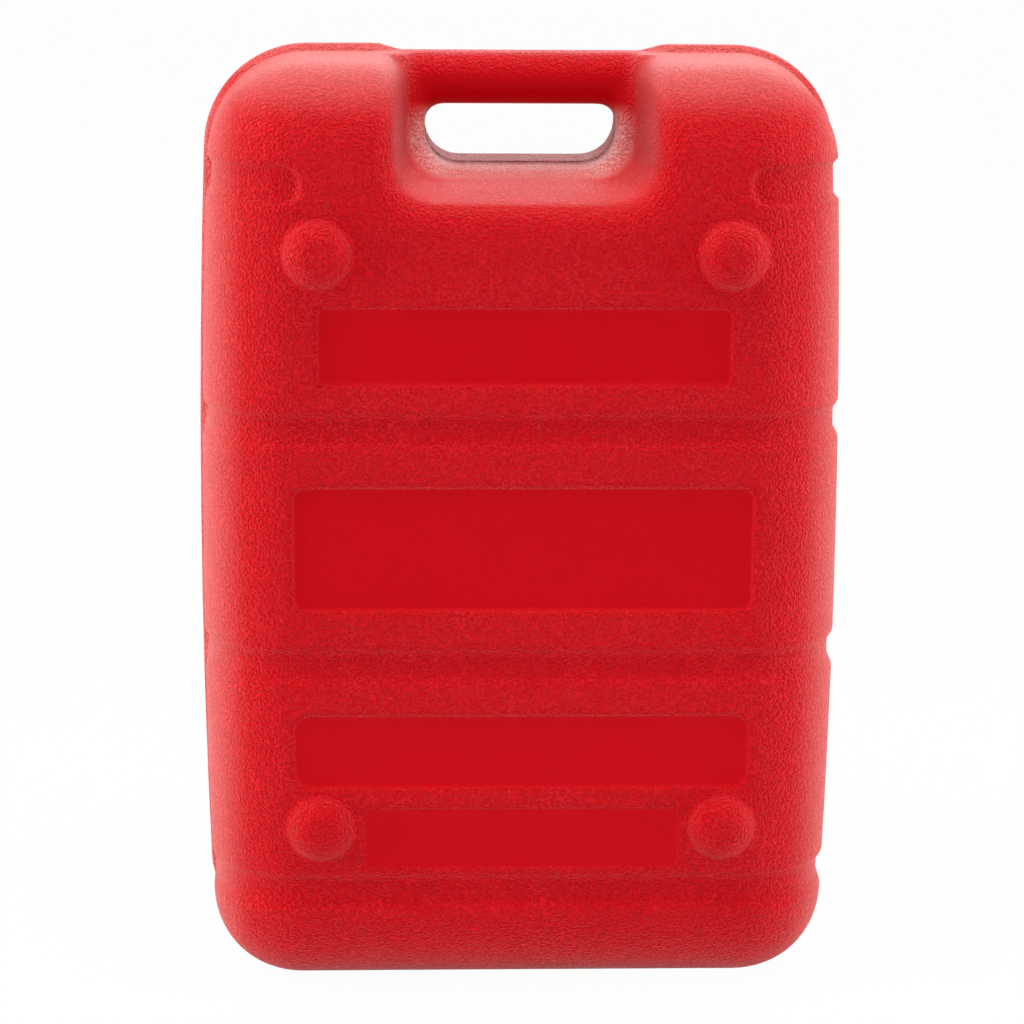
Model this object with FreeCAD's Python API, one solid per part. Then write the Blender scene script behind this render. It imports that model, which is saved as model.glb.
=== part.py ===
"""Outboard fuel tank: a blow-moulded 24 litre tank with its filler cap and its gauge and outlet head.

Millimetres. X runs across the tank, Y through its depth and Z along its length.
The tank stands on its lower end at Z = 0, handle up. Y = 0 is the mould's parting plane:
the underside with its four feet faces -Y, and the deck with the fittings faces +Y.
"""
import FreeCAD, Part

import math
import os

from FreeCAD import Placement, Rotation, Vector

# ---- Tank body ----
TANK_WIDTH = 331.6          # across the flanks at the parting plane, where they are widest
TANK_LENGTH = 482.0         # from the end it stands on to its shoulders
HALF_DEPTH = 98.0           # from the parting plane to the underside, and to the deck
WALL = 3.6
DRAFT = 2.0                 # degrees, on the flanks and the shoulders
LOWER_CORNER = 45.5         # outline radius at the end it stands on
SHOULDER_CORNER = 51.0      # outline radius at the shoulders
FLANK_RADIUS = 5160.0       # the flanks bow out along the tank's length
FLANK_CENTRE = 214.0        # height at which they are widest
UNDERSIDE_EDGE = 46.0       # rounding from the underside to the flanks
DECK_EDGE = 38.0            # rounding from the deck to the flanks
BEAD_WIDTH = 9.0            # raised rim on the deck side of the parting plane
BEAD_PROUD = 3.2
BEAD_CHAMFER = 1.2
BEAD_END = 76.0             # from the centre plane to where the rim runs out beside the handle
BEAD_RAMP = 7.0
SEAM_WIDTH = 3.0            # valley beside the rim
SEAM_DEPTH = 1.5

# ---- Stiffening grooves, three right round the tank and a short pair at the shoulders ----
GROOVE_WIDTH = 19.0         # at the mouth
GROOVE_DEPTH = 2.8
GROOVE_FLARE = 4.0          # how much each wall leans back
GROOVE_CENTRES = (58.0, 178.5, 300.5)
SHORT_GROOVE_CENTRE = 423.0
SHORT_GROOVE_START = 111.0  # from the centre plane to its rounded end
SHORT_GROOVE_CORNER = 8.5

# ---- Handle ----
POCKET_HALF_WIDTH = 59.0    # hand recess beside the bar, half its width at the bar
POCKET_FLARE = 7.0          # how much wider each side is at the face
POCKET_FLOOR = 419.0        # height of the recess's lower wall at the bar
POCKET_FALL = 7.0           # how much lower that wall is at the face
POCKET_CORNER = 20.0
POCKET_EDGE = 14.0          # rounding of the recess's rim
SLOT_HALF_WIDTH = 49.5      # finger gap through the tank
SLOT_FLOOR = 421.6          # at its underside end
SLOT_RISE = 6.0             # how much higher the floor is at its deck end
SLOT_CORNER = 18.0
SLOT_TOP_CORNER = 9.0
BAR_BOTTOM = 455.0
BAR_HALF_DEPTH = 18.0
BAR_EDGE = 12.5

# ---- Underside and deck ----
FOOT_HALF_SPACING = 103.0
FOOT_HEIGHTS = (92.4, 388.9)
FOOT_RADIUS = 17.0
FOOT_PROUD = 10.5
FOOT_LAND = 4.0             # radius of the flat at a foot's tip
PANEL_FLARE = 2.0           # how much further out a panel's edge is at the face

# Recessed panels: half width, lower edge, upper edge, corner radius, depth
UNDERSIDE_PANELS = (
    (102.5, 324.0, 361.5, 4.0, 1.6),
    (115.5, 208.0, 270.5, 6.0, 2.2),
    (115.5, 114.5, 151.5, 8.0, 1.8),
    (80.0, 71.5, 102.0, 3.0, 0.8),
)
DECK_PANELS = (
    (115.5, 196.0, 250.0, 6.0, 2.0),
    (115.5, 76.0, 156.0, 6.0, 2.0),
)

# ---- Fittings well in the deck ----
WELL_HALF_WIDTH = 130.0
WELL_LOW = 262.0
WELL_HIGH = 392.0
WELL_DEPTH = 26.0
WELL_FLARE = 6.0
WELL_CORNER = 26.0
CHANNEL_HALF_WIDTH = 21.0   # the hose's way out through the flank
PAD_HEIGHT = 2.0            # raised seats round the neck and under the head

# ---- Filler neck ----
NECK_X = -62.0
NECK_RADIUS = 33.0
NECK_WALL = 4.0
NECK_HEIGHT = 18.0
NECK_PAD_WIDTH = 6.0

# ---- Filler cap ----
GASKET_THICKNESS = 2.0
CAP_TOP = 4.5
CAP_SKIRT_WALL = 3.0
CAP_THREAD_GAP = 1.3        # room for the thread between the neck and the cap
CAP_FLOOR_GAP = 1.5
CAP_RIBS = 24
CAP_RIB_RADIUS = 2.2
CAP_RIB_PROUD = 1.6
CAP_EDGE = 1.6
HUB_RADIUS = 11.0
HUB_HEIGHT = 3.0
HUB_EDGE = 1.0
SPIGOT_RADIUS = 8.0         # under the cap, where the splash baffle hangs
BAFFLE_DROP = 5.0           # from the cap's underside to the baffle
BAFFLE_RADIUS = 24.0
BAFFLE_THICKNESS = 2.0
BAFFLE_HOLES = 6
BAFFLE_HOLE_RADIUS = 1.8
BAFFLE_HOLE_CIRCLE = 16.0
BAFFLE_LIP = 1.4
LOOSE_GAP = 0.3             # between pieces that turn or slide freely
FIT_GAP = 0.02              # between pieces that are pressed together

# ---- Vent screw ----
VENT_RADIUS = 2.4
THREAD_GAP = 0.08           # between a screw and its insert
VENT_INSERT_WALL = 1.7
VENT_INSERT_LENGTH = 13.0
VENT_INSERT_FLANGE = 1.6
VENT_INSERT_FLANGE_HEIGHT = 1.0
VENT_WASHER_THICKNESS = 1.5
VENT_WASHER_RADIUS = 5.2
VENT_KNOB_RADIUS = 9.0
VENT_KNOB_HEIGHT = 8.0
VENT_KNOB_EDGE = 1.0
VENT_KNOB_FLUTES = 8
VENT_KNOB_FLUTE_RADIUS = 2.0
VENT_KNOB_FLUTE_DEPTH = 1.5
VENT_STEM_LENGTH = 15.0
VENT_GROOVE_WIDTH = 1.2     # air way along the stem

# ---- Gauge and outlet head ----
HEAD_X = 60.0
HEAD_HOLE = 32.0
HEAD_RADIUS = 46.0
HEAD_THICKNESS = 6.0
HEAD_EDGE = 1.5
HEAD_SPIGOT_LENGTH = 14.0
HEAD_SPIGOT_GAP = 0.5
HEAD_GASKET = 2.0
RING_DEPTH = 13.0           # moulded ring under the well floor that holds the inserts
RING_MARGIN = 2.0
SCREW_COUNT = 6
SCREW_START = 30.0          # degrees
SCREW_CIRCLE = 39.5
SCREW_RADIUS = 2.4
SCREW_HEAD_RADIUS = 4.4
SCREW_HEAD_HEIGHT = 3.0
SCREW_LENGTH = 17.0
SCREW_SLOT_WIDTH = 1.2
SCREW_SLOT_DEPTH = 1.5
SCREW_INSERT_LENGTH = 11.0
SCREW_INSERT_WALL = 1.1

# ---- Gauge ----
GAUGE_OFFSET = -15.0        # from the head's centre
DIAL_RADIUS = 16.5
DIAL_THICKNESS = 0.8
DIAL_SEAT_DEPTH = 2.0       # below the head's flange
RIM_WALL = 4.0
RIM_HEIGHT = 5.0
POINTER_LIFT = 0.8
POINTER_THICKNESS = 0.8
POINTER_LENGTH = 13.0
POINTER_WIDTH = 2.8
POINTER_HUB = 3.2
POINTER_SHAFT = 1.0
EMPTY_ANGLE = -135.0        # from the +X side, turned about +Y
LENS_THICKNESS = 2.0
LENS_LEDGE = 2.0
LENS_SEAL_THICKNESS = 0.6
BEZEL_HEIGHT = 1.6
BEZEL_WALL = 1.2
BEZEL_SKIRT = 2.5
SPINDLE_RADIUS = 1.5
SPINDLE_FOOT = 1.2
SPINDLE_COLLAR = 2.6
COLLAR_HEIGHT = 2.0
BEARING_GAP = 0.06
STRIP_WIDTH = 6.0
STRIP_THICKNESS = 1.0
STRIP_SECTIONS = 17
GAUGE_SWEEP = 270.0         # degrees that the strip turns from empty to full
FLOAT_TRAVEL = 114.0
FLOAT_RADIUS = 15.5
FLOAT_HEIGHT = 22.0
FLOAT_EDGE = 3.0
FLOAT_BORE = 4.5
FLOAT_REST_GAP = 4.0        # from the lower bearing to the float of an empty tank
ROD_OFFSET = 11.0
ROD_RADIUS = 1.6
ROD_GAP = 0.5
ROD_SOCKET = 5.0
FOLLOWER_RADIUS = 7.0
FOLLOWER_THICKNESS = 1.6
SLOT_GAP = 0.45             # round the strip in the follower's slot
FRAME_FOOT_THICKNESS = 4.0
FRAME_FOOT_GAP = 4.5        # above the tank's inside
FRAME_FOOT_RADIUS = 15.0
FRAME_FOOT_HALF_WIDTH = 6.0

# ---- Pick-up tube and screen ----
OUTLET_OFFSET = 22.0        # from the head's centre
TUBE_RADIUS = 4.75
TUBE_WALL = 1.2
TUBE_SOCKET = 8.0
SCREEN_WALL = 1.6
SCREEN_LENGTH = 18.0
SCREEN_GRIP = 6.0           # length of the screen's collar on the tube
SCREEN_FLOOR_GAP = 2.6
SCREEN_SLOTS = 6
SCREEN_SLOT_WIDTH = 2.2

# ---- Swivelling outlet ----
OUTLET_BOSS_RADIUS = 10.6
OUTLET_BOSS_HEIGHT = 4.5
ELBOW_SPIGOT = 6.5
ELBOW_SPIGOT_LENGTH = 15.0
ELBOW_FLANGE = 9.2
ELBOW_FLANGE_HEIGHT = 2.0
ELBOW_RADIUS = 7.2
ELBOW_BORE = 3.2
ELBOW_RISE = 12.0           # from the underside of the elbow's flange to the outlet's axis
ELBOW_LEG = 17.0            # from the swivel's axis to the end of the leg
SWIVEL_SEAL = 0.75
SWIVEL_SEAL_GROOVE = 1.4
SWIVEL_SEAL_DROP = 8.0
RETAINER_WALL = 2.2
RETAINER_LIP = 1.6
RETAINER_GRIP = 3.5
RETAINER_NOTCHES = 6

# ---- Outlet nipple and its check valve ----
NIPPLE_SHANK = 5.2
NIPPLE_SHANK_LENGTH = 9.0
NIPPLE_HEX = 14.0           # across flats
NIPPLE_HEX_LENGTH = 5.0
NIPPLE_RADIUS = 5.0
NIPPLE_LENGTH = 14.0
NIPPLE_NOSE = 1.0
NIPPLE_BORE = 3.4
NIPPLE_MOUTH = 1.9
NIPPLE_SEAT = 2.5           # thickness of the wall at the nipple's mouth
POPPET_STEM = 1.2
POPPET_STEM_PROUD = 1.0
POPPET_HEAD = 3.0
POPPET_HEAD_LENGTH = 3.0
POPPET_TAIL_LENGTH = 5.0
POPPET_SEAL_THICKNESS = 1.0
SPRING_RADIUS = 2.2
SPRING_WIRE = 0.35
SPRING_TURNS = 6
SPRING_SEAT_THICKNESS = 1.5
SPRING_SEAT_HOLE = 1.2
SPRING_SEAT_PORTS = 3
SPRING_SEAT_PORT_RADIUS = 0.6
CLEAR = 1.0                 # how far a cutting shape runs past what it cuts

# ---- Levels worked out from the sizes above ----
FITTINGS_Z = (WELL_LOW + WELL_HIGH) / 2
WELL_FLOOR_Y = HALF_DEPTH - WELL_DEPTH
PAD_Y = WELL_FLOOR_Y + PAD_HEIGHT
INSIDE_FLOOR_Y = WALL - HALF_DEPTH

NECK_TOP_Y = WELL_FLOOR_Y + NECK_HEIGHT
CAP_INSIDE_Y = NECK_TOP_Y + GASKET_THICKNESS
CAP_TOP_Y = CAP_INSIDE_Y + CAP_TOP
HUB_TOP_Y = CAP_TOP_Y + HUB_HEIGHT
CAP_INSIDE_RADIUS = NECK_RADIUS + CAP_THREAD_GAP
CAP_RADIUS = CAP_INSIDE_RADIUS + CAP_SKIRT_WALL
BAFFLE_TOP_Y = CAP_INSIDE_Y - BAFFLE_DROP
SPIGOT_END_Y = BAFFLE_TOP_Y - BAFFLE_THICKNESS - 2 * LOOSE_GAP - BAFFLE_LIP
VENT_SEAT_Y = HUB_TOP_Y + VENT_INSERT_FLANGE_HEIGHT
VENT_KNOB_Y = VENT_SEAT_Y + VENT_WASHER_THICKNESS

HEAD_Y = PAD_Y + HEAD_GASKET
HEAD_TOP_Y = HEAD_Y + HEAD_THICKNESS
HEAD_END_Y = HEAD_Y - HEAD_SPIGOT_LENGTH
RING_RADIUS = SCREW_CIRCLE + SCREW_RADIUS + THREAD_GAP + SCREW_INSERT_WALL + RING_MARGIN

GAUGE_X = HEAD_X + GAUGE_OFFSET
DIAL_SEAT_Y = HEAD_TOP_Y - DIAL_SEAT_DEPTH
DIAL_TOP_Y = DIAL_SEAT_Y + DIAL_THICKNESS
POINTER_Y = DIAL_TOP_Y + POINTER_LIFT
RIM_TOP_Y = HEAD_TOP_Y + RIM_HEIGHT
LENS_Y = RIM_TOP_Y - LENS_THICKNESS
LENS_SEAL_Y = LENS_Y - LENS_SEAL_THICKNESS
FOOT_PLATE_Y = INSIDE_FLOOR_Y + FRAME_FOOT_GAP
FOOT_PLATE_TOP_Y = FOOT_PLATE_Y + FRAME_FOOT_THICKNESS
STRIP_LOW_Y = FOOT_PLATE_TOP_Y + COLLAR_HEIGHT + BEARING_GAP
STRIP_HIGH_Y = HEAD_END_Y - COLLAR_HEIGHT - LOOSE_GAP
FLOAT_Y = FOOT_PLATE_TOP_Y + FLOAT_REST_GAP
FLOAT_TOP_Y = FLOAT_Y + FLOAT_HEIGHT
FOLLOWER_Y = FLOAT_TOP_Y - FOLLOWER_THICKNESS

OUTLET_X = HEAD_X + OUTLET_OFFSET
TUBE_TOP_Y = HEAD_END_Y + TUBE_SOCKET
SCREEN_END_Y = INSIDE_FLOOR_Y + SCREEN_FLOOR_GAP
SCREEN_TOP_Y = SCREEN_END_Y + SCREEN_LENGTH
TUBE_END_Y = SCREEN_TOP_Y - SCREEN_GRIP
BOSS_TOP_Y = HEAD_TOP_Y + OUTLET_BOSS_HEIGHT
ELBOW_Y = BOSS_TOP_Y + LOOSE_GAP
ELBOW_END_Y = ELBOW_Y - ELBOW_SPIGOT_LENGTH
OUTLET_Y = ELBOW_Y + ELBOW_RISE
SWIVEL_SEAL_Y = ELBOW_Y - SWIVEL_SEAL_DROP

NIPPLE_X = OUTLET_X + ELBOW_LEG
NOSE_X = NIPPLE_X + NIPPLE_HEX_LENGTH
NIPPLE_END_X = NOSE_X + NIPPLE_LENGTH + NIPPLE_NOSE
POPPET_SEAT_X = NIPPLE_END_X - NIPPLE_SEAT
POPPET_SEAL_X = POPPET_SEAT_X - POPPET_SEAL_THICKNESS
POPPET_BACK_X = POPPET_SEAL_X - POPPET_HEAD_LENGTH
SHANK_END_X = NIPPLE_X - NIPPLE_SHANK_LENGTH
SPRING_SEAT_X = SHANK_END_X + SPRING_SEAT_THICKNESS


# ---- Building blocks ----
def line(start, end):
    return Part.LineSegment(start, end).toShape()


def arc(start, middle, end):
    return Part.Arc(start, middle, end).toShape()


def rounded_outline(half_width, low, high, low_radius, high_radius, y):
    """A closed outline in the plane at y, with its lower and upper corners rounded."""
    bend = 1.0 - math.sqrt(0.5)
    right = half_width
    corners = (
        (right, low, low_radius, 1, 1),
        (right, high, high_radius, 1, -1),
        (-right, high, high_radius, -1, -1),
        (-right, low, low_radius, -1, 1),
    )
    bends = []
    for x, z, radius, side, up in corners:
        flat_end = Vector(x - side * radius, y, z)
        middle = Vector(x - side * radius * bend, y, z + up * radius * bend)
        upright_end = Vector(x, y, z + up * radius)
        bends.append((flat_end, middle, upright_end))
    bends[1] = bends[1][::-1]
    bends[3] = bends[3][::-1]
    edges = []
    for i, (start, middle, end) in enumerate(bends):
        edges.append(arc(start, middle, end))
        edges.append(line(end, bends[(i + 1) % 4][0]))
    return Part.Wire(edges)


def body_outline(half_width, low, high, low_radius, high_radius, flank_radius, y):
    """The tank's outline in the plane at y: flat ends, rounded corners and bowed flanks."""
    centre = half_width - flank_radius
    points = []
    for z, radius, up in ((low, low_radius, 1), (high, high_radius, -1)):
        bend_z = z + up * radius
        bend_x = centre + math.sqrt((flank_radius - radius) ** 2 - (bend_z - FLANK_CENTRE) ** 2)
        lean = math.atan2(bend_z - FLANK_CENTRE, bend_x - centre)
        middle = (lean - up * math.pi / 2) / 2
        points.append((bend_x, z))
        points.append((bend_x + radius * math.cos(middle), bend_z + radius * math.sin(middle)))
        reach = Vector(flank_radius * math.cos(lean), flank_radius * math.sin(lean), 0)
        points.append((centre + reach.x, FLANK_CENTRE + reach.y))
    flat_low, low_middle, flank_low, flat_high, high_middle, flank_high = points
    widest = (half_width, FLANK_CENTRE)
    edges = []
    for side in (1, -1):
        for run in ((flat_low, low_middle, flank_low), (flank_low, widest, flank_high),
                    (flank_high, high_middle, flat_high)):
            edges.append(arc(*[Vector(side * x, y, z) for x, z in run]))
    for x, z in (flat_low, flat_high):
        edges.append(line(Vector(-x, y, z), Vector(x, y, z)))
    return Part.Wire(Part.sortEdges(edges)[0])


def prism(low_wire, high_wire):
    return Part.makeLoft([low_wire, high_wire], True, True)


def cylinder(radius, y_low, y_high, x, z=FITTINGS_Z):
    """A cylinder along Y."""
    return Part.makeCylinder(radius, y_high - y_low, Vector(x, y_low, z), Vector(0, 1, 0))


def ring(outer, inner, y_low, y_high, x, z=FITTINGS_Z):
    bore = cylinder(inner, y_low - CLEAR, y_high + CLEAR, x, z)
    return solid(cylinder(outer, y_low, y_high, x, z).cut(bore))


def outlet_cylinder(radius, x_low, x_high):
    """A cylinder along X on the outlet's axis."""
    start = Vector(x_low, OUTLET_Y, FITTINGS_Z)
    return Part.makeCylinder(radius, x_high - x_low, start, Vector(1, 0, 0))


def turned(shape, x, degrees, z=FITTINGS_Z):
    """A copy of shape turned about the line along Y through x and z."""
    copy = shape.copy()
    copy.rotate(Vector(x, 0, z), Vector(0, 1, 0), degrees)
    return copy


def round_pattern(shape, x, count, first=0.0):
    """Copies of shape, evenly spaced about the line along Y through x."""
    return [turned(shape, x, first + i * 360.0 / count) for i in range(count)]


def edges_at_y(shape, y):
    """The edges that lie wholly in the plane at y."""
    boxes = [(edge, edge.BoundBox) for edge in shape.Edges]
    return [edge for edge, box in boxes if abs(box.YMin - y) < 0.01 and abs(box.YMax - y) < 0.01]


def circle_edges(shape, radius, y):
    """The circular edges about Y of this radius at this level."""
    found = []
    for edge in edges_at_y(shape, y):
        if isinstance(edge.Curve, Part.Circle) and abs(edge.Curve.Radius - radius) < 0.01:
            found.append(edge)
    return found


def solid(shape):
    """The one solid of a boolean's result, with its split faces joined again."""
    solids = shape.removeSplitter().Solids
    if len(solids) != 1:
        raise ValueError("expected one solid and got %d" % len(solids))
    return solids[0]


# ---- Tank shell: every form takes an inset, 0 for the skin and WALL for the cavity ----
def face_edge(side):
    return UNDERSIDE_EDGE if side < 0 else DECK_EDGE


def half_body(side, inset):
    """One mould half, from the parting plane to its face. side is -1 for the underside, 1 for the deck."""
    depth = HALF_DEPTH - inset
    fall = depth * math.tan(math.radians(DRAFT))
    half_width = TANK_WIDTH / 2 - inset
    high = TANK_LENGTH - inset
    radii = (LOWER_CORNER - inset, SHOULDER_CORNER - inset, FLANK_RADIUS - inset)
    at_parting = body_outline(half_width, inset, high, *radii, 0.0)
    at_face = body_outline(half_width - fall, inset, high - fall, *radii, side * depth)
    body = prism(at_parting, at_face)
    return body.makeFillet(face_edge(side) - inset, edges_at_y(body, side * depth))


def pocketed_half(side, inset):
    """A mould half with the hand recess sunk into it, its rim rounded over."""
    face = side * (HALF_DEPTH - inset)
    body = half_body(side, inset).cut(hand_pocket(side, inset))
    reach = POCKET_HALF_WIDTH + POCKET_FLARE + inset + CLEAR
    rim = [edge for edge in edges_at_y(body, face)
           if edge.BoundBox.XMin > -reach and edge.BoundBox.XMax < reach
           and edge.BoundBox.ZMin > TANK_LENGTH / 2]
    return body.makeFillet(POCKET_EDGE - inset, rim)


def section_outline(inset, z):
    """The outline that the body has at a height between its rounded ends."""
    lean = math.radians(DRAFT)
    depth = HALF_DEPTH - inset
    bow = FLANK_RADIUS - math.sqrt(FLANK_RADIUS ** 2 - (z - FLANK_CENTRE) ** 2)
    flank = TANK_WIDTH / 2 - inset - bow
    corner = flank - depth * math.tan(lean)
    middle = math.pi / 4 + lean / 2
    edges = []
    for side_y in (1, -1):
        radius = face_edge(side_y) - inset
        tangent = radius * math.tan(math.pi / 4 - lean / 2)
        flat = corner - tangent
        points = (
            (flank, 0.0),
            (corner + tangent * math.sin(lean), depth - tangent * math.cos(lean)),
            (flat + radius * math.cos(middle), depth - radius + radius * math.sin(middle)),
            (flat, depth),
        )
        for side_x in (1, -1):
            start, bend_start, bend, bend_end = [Vector(side_x * x, side_y * y, z) for x, y in points]
            edges.append(line(start, bend_start))
            edges.append(arc(bend_start, bend, bend_end))
        edges.append(line(Vector(-flat, side_y * depth, z), Vector(flat, side_y * depth, z)))
    return Part.Wire(Part.sortEdges(edges)[0])


def ring_groove(centre, inset):
    """A ring round the tank with sloping walls. Its mouth runs a little past the skin."""
    half_floor = GROOVE_WIDTH / 2 - GROOVE_FLARE + inset
    half_mouth = half_floor + GROOVE_FLARE * (GROOVE_DEPTH + CLEAR) / GROOVE_DEPTH
    levels = (
        (centre - half_mouth, inset - CLEAR),
        (centre - half_floor, inset + GROOVE_DEPTH),
        (centre + half_floor, inset + GROOVE_DEPTH),
        (centre + half_mouth, inset - CLEAR),
    )
    core = Part.makeLoft([section_outline(depth, z) for z, depth in levels], True, True)
    corner = Vector(-TANK_WIDTH, -TANK_WIDTH, centre - half_mouth)
    block = Part.makeBox(2 * TANK_WIDTH, 2 * TANK_WIDTH, 2 * half_mouth, corner)
    return block.cut(core)


def short_groove(side, inset):
    """The groove at the shoulders, which ends round on the faces."""
    half_height = GROOVE_WIDTH / 2 + inset
    half_length = TANK_WIDTH / 2
    radius = SHORT_GROOVE_CORNER + inset
    low = SHORT_GROOVE_CENTRE - half_height
    high = SHORT_GROOVE_CENTRE + half_height
    reach = HALF_DEPTH + CLEAR
    ends = [rounded_outline(half_length, low, high, radius, radius, y) for y in (-reach, reach)]
    slab = prism(*ends)
    slab.translate(Vector(side * (SHORT_GROOVE_START - inset + half_length), 0, 0))
    return slab.cut(body_form(inset + GROOVE_DEPTH))


def body_form(inset):
    return half_body(-1, inset).fuse(half_body(1, inset)).removeSplitter()


def pocketed_form(inset):
    return pocketed_half(-1, inset).fuse(pocketed_half(1, inset)).removeSplitter()


def hand_pocket(side, inset):
    """The recess beside the handle bar, which widens and falls towards the face."""
    above = TANK_LENGTH + POCKET_CORNER * 4
    radius = POCKET_CORNER + inset
    half_width = POCKET_HALF_WIDTH + inset
    floor = POCKET_FLOOR - inset
    at_bar = rounded_outline(half_width, floor, above, radius, radius, side * (BAR_HALF_DEPTH - inset))
    at_face = rounded_outline(half_width + POCKET_FLARE, floor - POCKET_FALL, above,
                              radius, radius, side * (HALF_DEPTH + CLEAR))
    return prism(at_bar, at_face)


def finger_slot(inset):
    """The gap through the tank under the bar. It is cut open at the top, and the bar closes it."""
    above = TANK_LENGTH + SLOT_CORNER * 4
    radius = SLOT_CORNER + inset
    half_width = SLOT_HALF_WIDTH + inset
    low = SLOT_FLOOR - inset
    reach = BAR_HALF_DEPTH + CLEAR
    at_underside = rounded_outline(half_width, low, above, radius, radius, -reach)
    at_deck = rounded_outline(half_width, low + SLOT_RISE, above, radius, radius, reach)
    return prism(at_underside, at_deck)


def bar_room(inset):
    """The upper part of the wall between the two hand recesses, which the rounded bar replaces."""
    half_length = POCKET_HALF_WIDTH + inset
    half_depth = BAR_HALF_DEPTH + CLEAR
    low = BAR_BOTTOM + BAR_EDGE
    return Part.makeBox(2 * half_length, 2 * half_depth, 2 * (TANK_LENGTH - low),
                        Vector(-half_length, -half_depth, low))


def handle_bar(inset):
    """The rounded bar. Its section turns down at each end, which rounds the finger gap's upper corners."""
    half_length = POCKET_HALF_WIDTH + inset + 2 * CLEAR
    half_depth = BAR_HALF_DEPTH - inset
    height = TANK_LENGTH - BAR_BOTTOM - 2 * inset
    corner = Vector(-half_length, -half_depth, BAR_BOTTOM + inset)
    bar = Part.makeBox(2 * half_length, 2 * half_depth, height, corner)
    long_edges = [edge for edge in bar.Edges if edge.BoundBox.XLength > half_length]
    bar = bar.makeFillet(BAR_EDGE - inset, long_edges)
    end = [face for face in bar.Faces if face.BoundBox.XMin > half_length - CLEAR][0]
    pivot = Vector(half_length, 0, BAR_BOTTOM - SLOT_TOP_CORNER)
    bend = end.revolve(pivot, Vector(0, 1, 0), 90)
    bend.translate(Vector(SLOT_HALF_WIDTH - SLOT_TOP_CORNER - half_length, 0, 0))
    return bar.fuse([bend, bend.mirror(Vector(0, 0, 0), Vector(1, 0, 0))])


def recessed_panel(side, panel, inset):
    half_width, low, high, radius, depth = panel
    floor = HALF_DEPTH - depth - inset
    lean = PANEL_FLARE / depth
    mouth = lean * (depth + CLEAR)
    at_floor = rounded_outline(half_width + inset, low - inset, high + inset,
                               radius + inset, radius + inset, side * floor)
    at_mouth = rounded_outline(half_width + inset + mouth, low - inset - mouth, high + inset + mouth,
                               radius + inset + mouth, radius + inset + mouth,
                               side * (floor + depth + CLEAR))
    return prism(at_floor, at_mouth)


def fittings_well(inset):
    """The well in the deck, and the hose's way out of it through the flank."""
    floor = WELL_FLOOR_Y - inset
    top = HALF_DEPTH + CLEAR
    half_width = WELL_HALF_WIDTH + inset
    low = WELL_LOW - inset
    high = WELL_HIGH + inset
    radius = WELL_CORNER + inset
    at_floor = rounded_outline(half_width - WELL_FLARE, low + WELL_FLARE, high - WELL_FLARE,
                               radius - WELL_FLARE, radius - WELL_FLARE, floor)
    at_top = rounded_outline(half_width, low, high, radius, radius, top)
    channel_half = CHANNEL_HALF_WIDTH + inset
    channel = Part.makeBox(TANK_WIDTH, top - floor, 2 * channel_half,
                           Vector(0, floor, FITTINGS_Z - channel_half))
    return prism(at_floor, at_top).fuse(channel)


def foot(x, z, inset):
    """A dome with a small flat at its tip."""
    radius = FOOT_RADIUS - inset
    face = inset - HALF_DEPTH
    tip = face - FOOT_PROUD
    land = FOOT_LAND - inset / 2
    root = face + WALL
    shoulder = Vector(land + (radius - land) * 0.74, face - FOOT_PROUD * 0.62, 0)
    profile = [
        line(Vector(0, root, 0), Vector(radius, root, 0)),
        line(Vector(radius, root, 0), Vector(radius, face, 0)),
        arc(Vector(radius, face, 0), shoulder, Vector(land, tip, 0)),
        line(Vector(land, tip, 0), Vector(0, tip, 0)),
        line(Vector(0, tip, 0), Vector(0, root, 0)),
    ]
    dome = Part.Face(Part.Wire(profile)).revolve(Vector(0, 0, 0), Vector(0, 1, 0), 360)
    dome.translate(Vector(x, 0, z))
    return dome


def feet(inset):
    return [foot(side * FOOT_HALF_SPACING, z, inset) for side in (-1, 1) for z in FOOT_HEIGHTS]


def rim_outline(grow, low, y):
    """The body's outline at the parting plane, drawn grow outside the skin."""
    return body_outline(TANK_WIDTH / 2 + grow, low, TANK_LENGTH + grow,
                        LOWER_CORNER + grow, SHOULDER_CORNER + grow, FLANK_RADIUS + grow, y)


def handle_break():
    """Where the rim and its valley stop beside the handle, each with a ramped end."""
    slope = BEAD_RAMP / BEAD_PROUD
    low = -SEAM_DEPTH - CLEAR
    high = BEAD_PROUD + CLEAR
    profile = ((-1, low), (1, low), (1, high), (-1, high), (-1, low))
    corners = [Vector(side * (BEAD_END + slope * rise), -HALF_DEPTH, TANK_LENGTH + rise)
               for side, rise in profile]
    return Part.Face(Part.makePolygon(corners)).extrude(Vector(0, 2 * HALF_DEPTH, 0))


def parting_bead():
    """The raised rim round the tank on the deck side of the seam."""
    levels = (
        (-CLEAR, BEAD_PROUD - BEAD_CHAMFER),
        (BEAD_CHAMFER - CLEAR, BEAD_PROUD),
        (BEAD_WIDTH - BEAD_CHAMFER, BEAD_PROUD),
        (BEAD_WIDTH, BEAD_PROUD - BEAD_CHAMFER),
    )
    rim = Part.makeLoft([rim_outline(grow, -grow, y) for y, grow in levels], True, True)
    return rim.cut(handle_break())


def seam_valley():
    """The shallow valley beside the rim, over the flanks and the shoulders."""
    ends = (-CLEAR - SEAM_WIDTH, -CLEAR)
    outside = prism(*[rim_outline(BEAD_PROUD, -LOWER_CORNER, y) for y in ends])
    inside = prism(*[rim_outline(-SEAM_DEPTH, -2 * LOWER_CORNER, y) for y in ends])
    return outside.cut([inside, handle_break()])


def recesses(inset):
    """Everything that is sunk into the body's form."""
    sunk = [recessed_panel(-1, panel, inset) for panel in UNDERSIDE_PANELS]
    sunk += [recessed_panel(1, panel, inset) for panel in DECK_PANELS]
    sunk += [finger_slot(inset), fittings_well(inset)]
    return sunk


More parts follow.
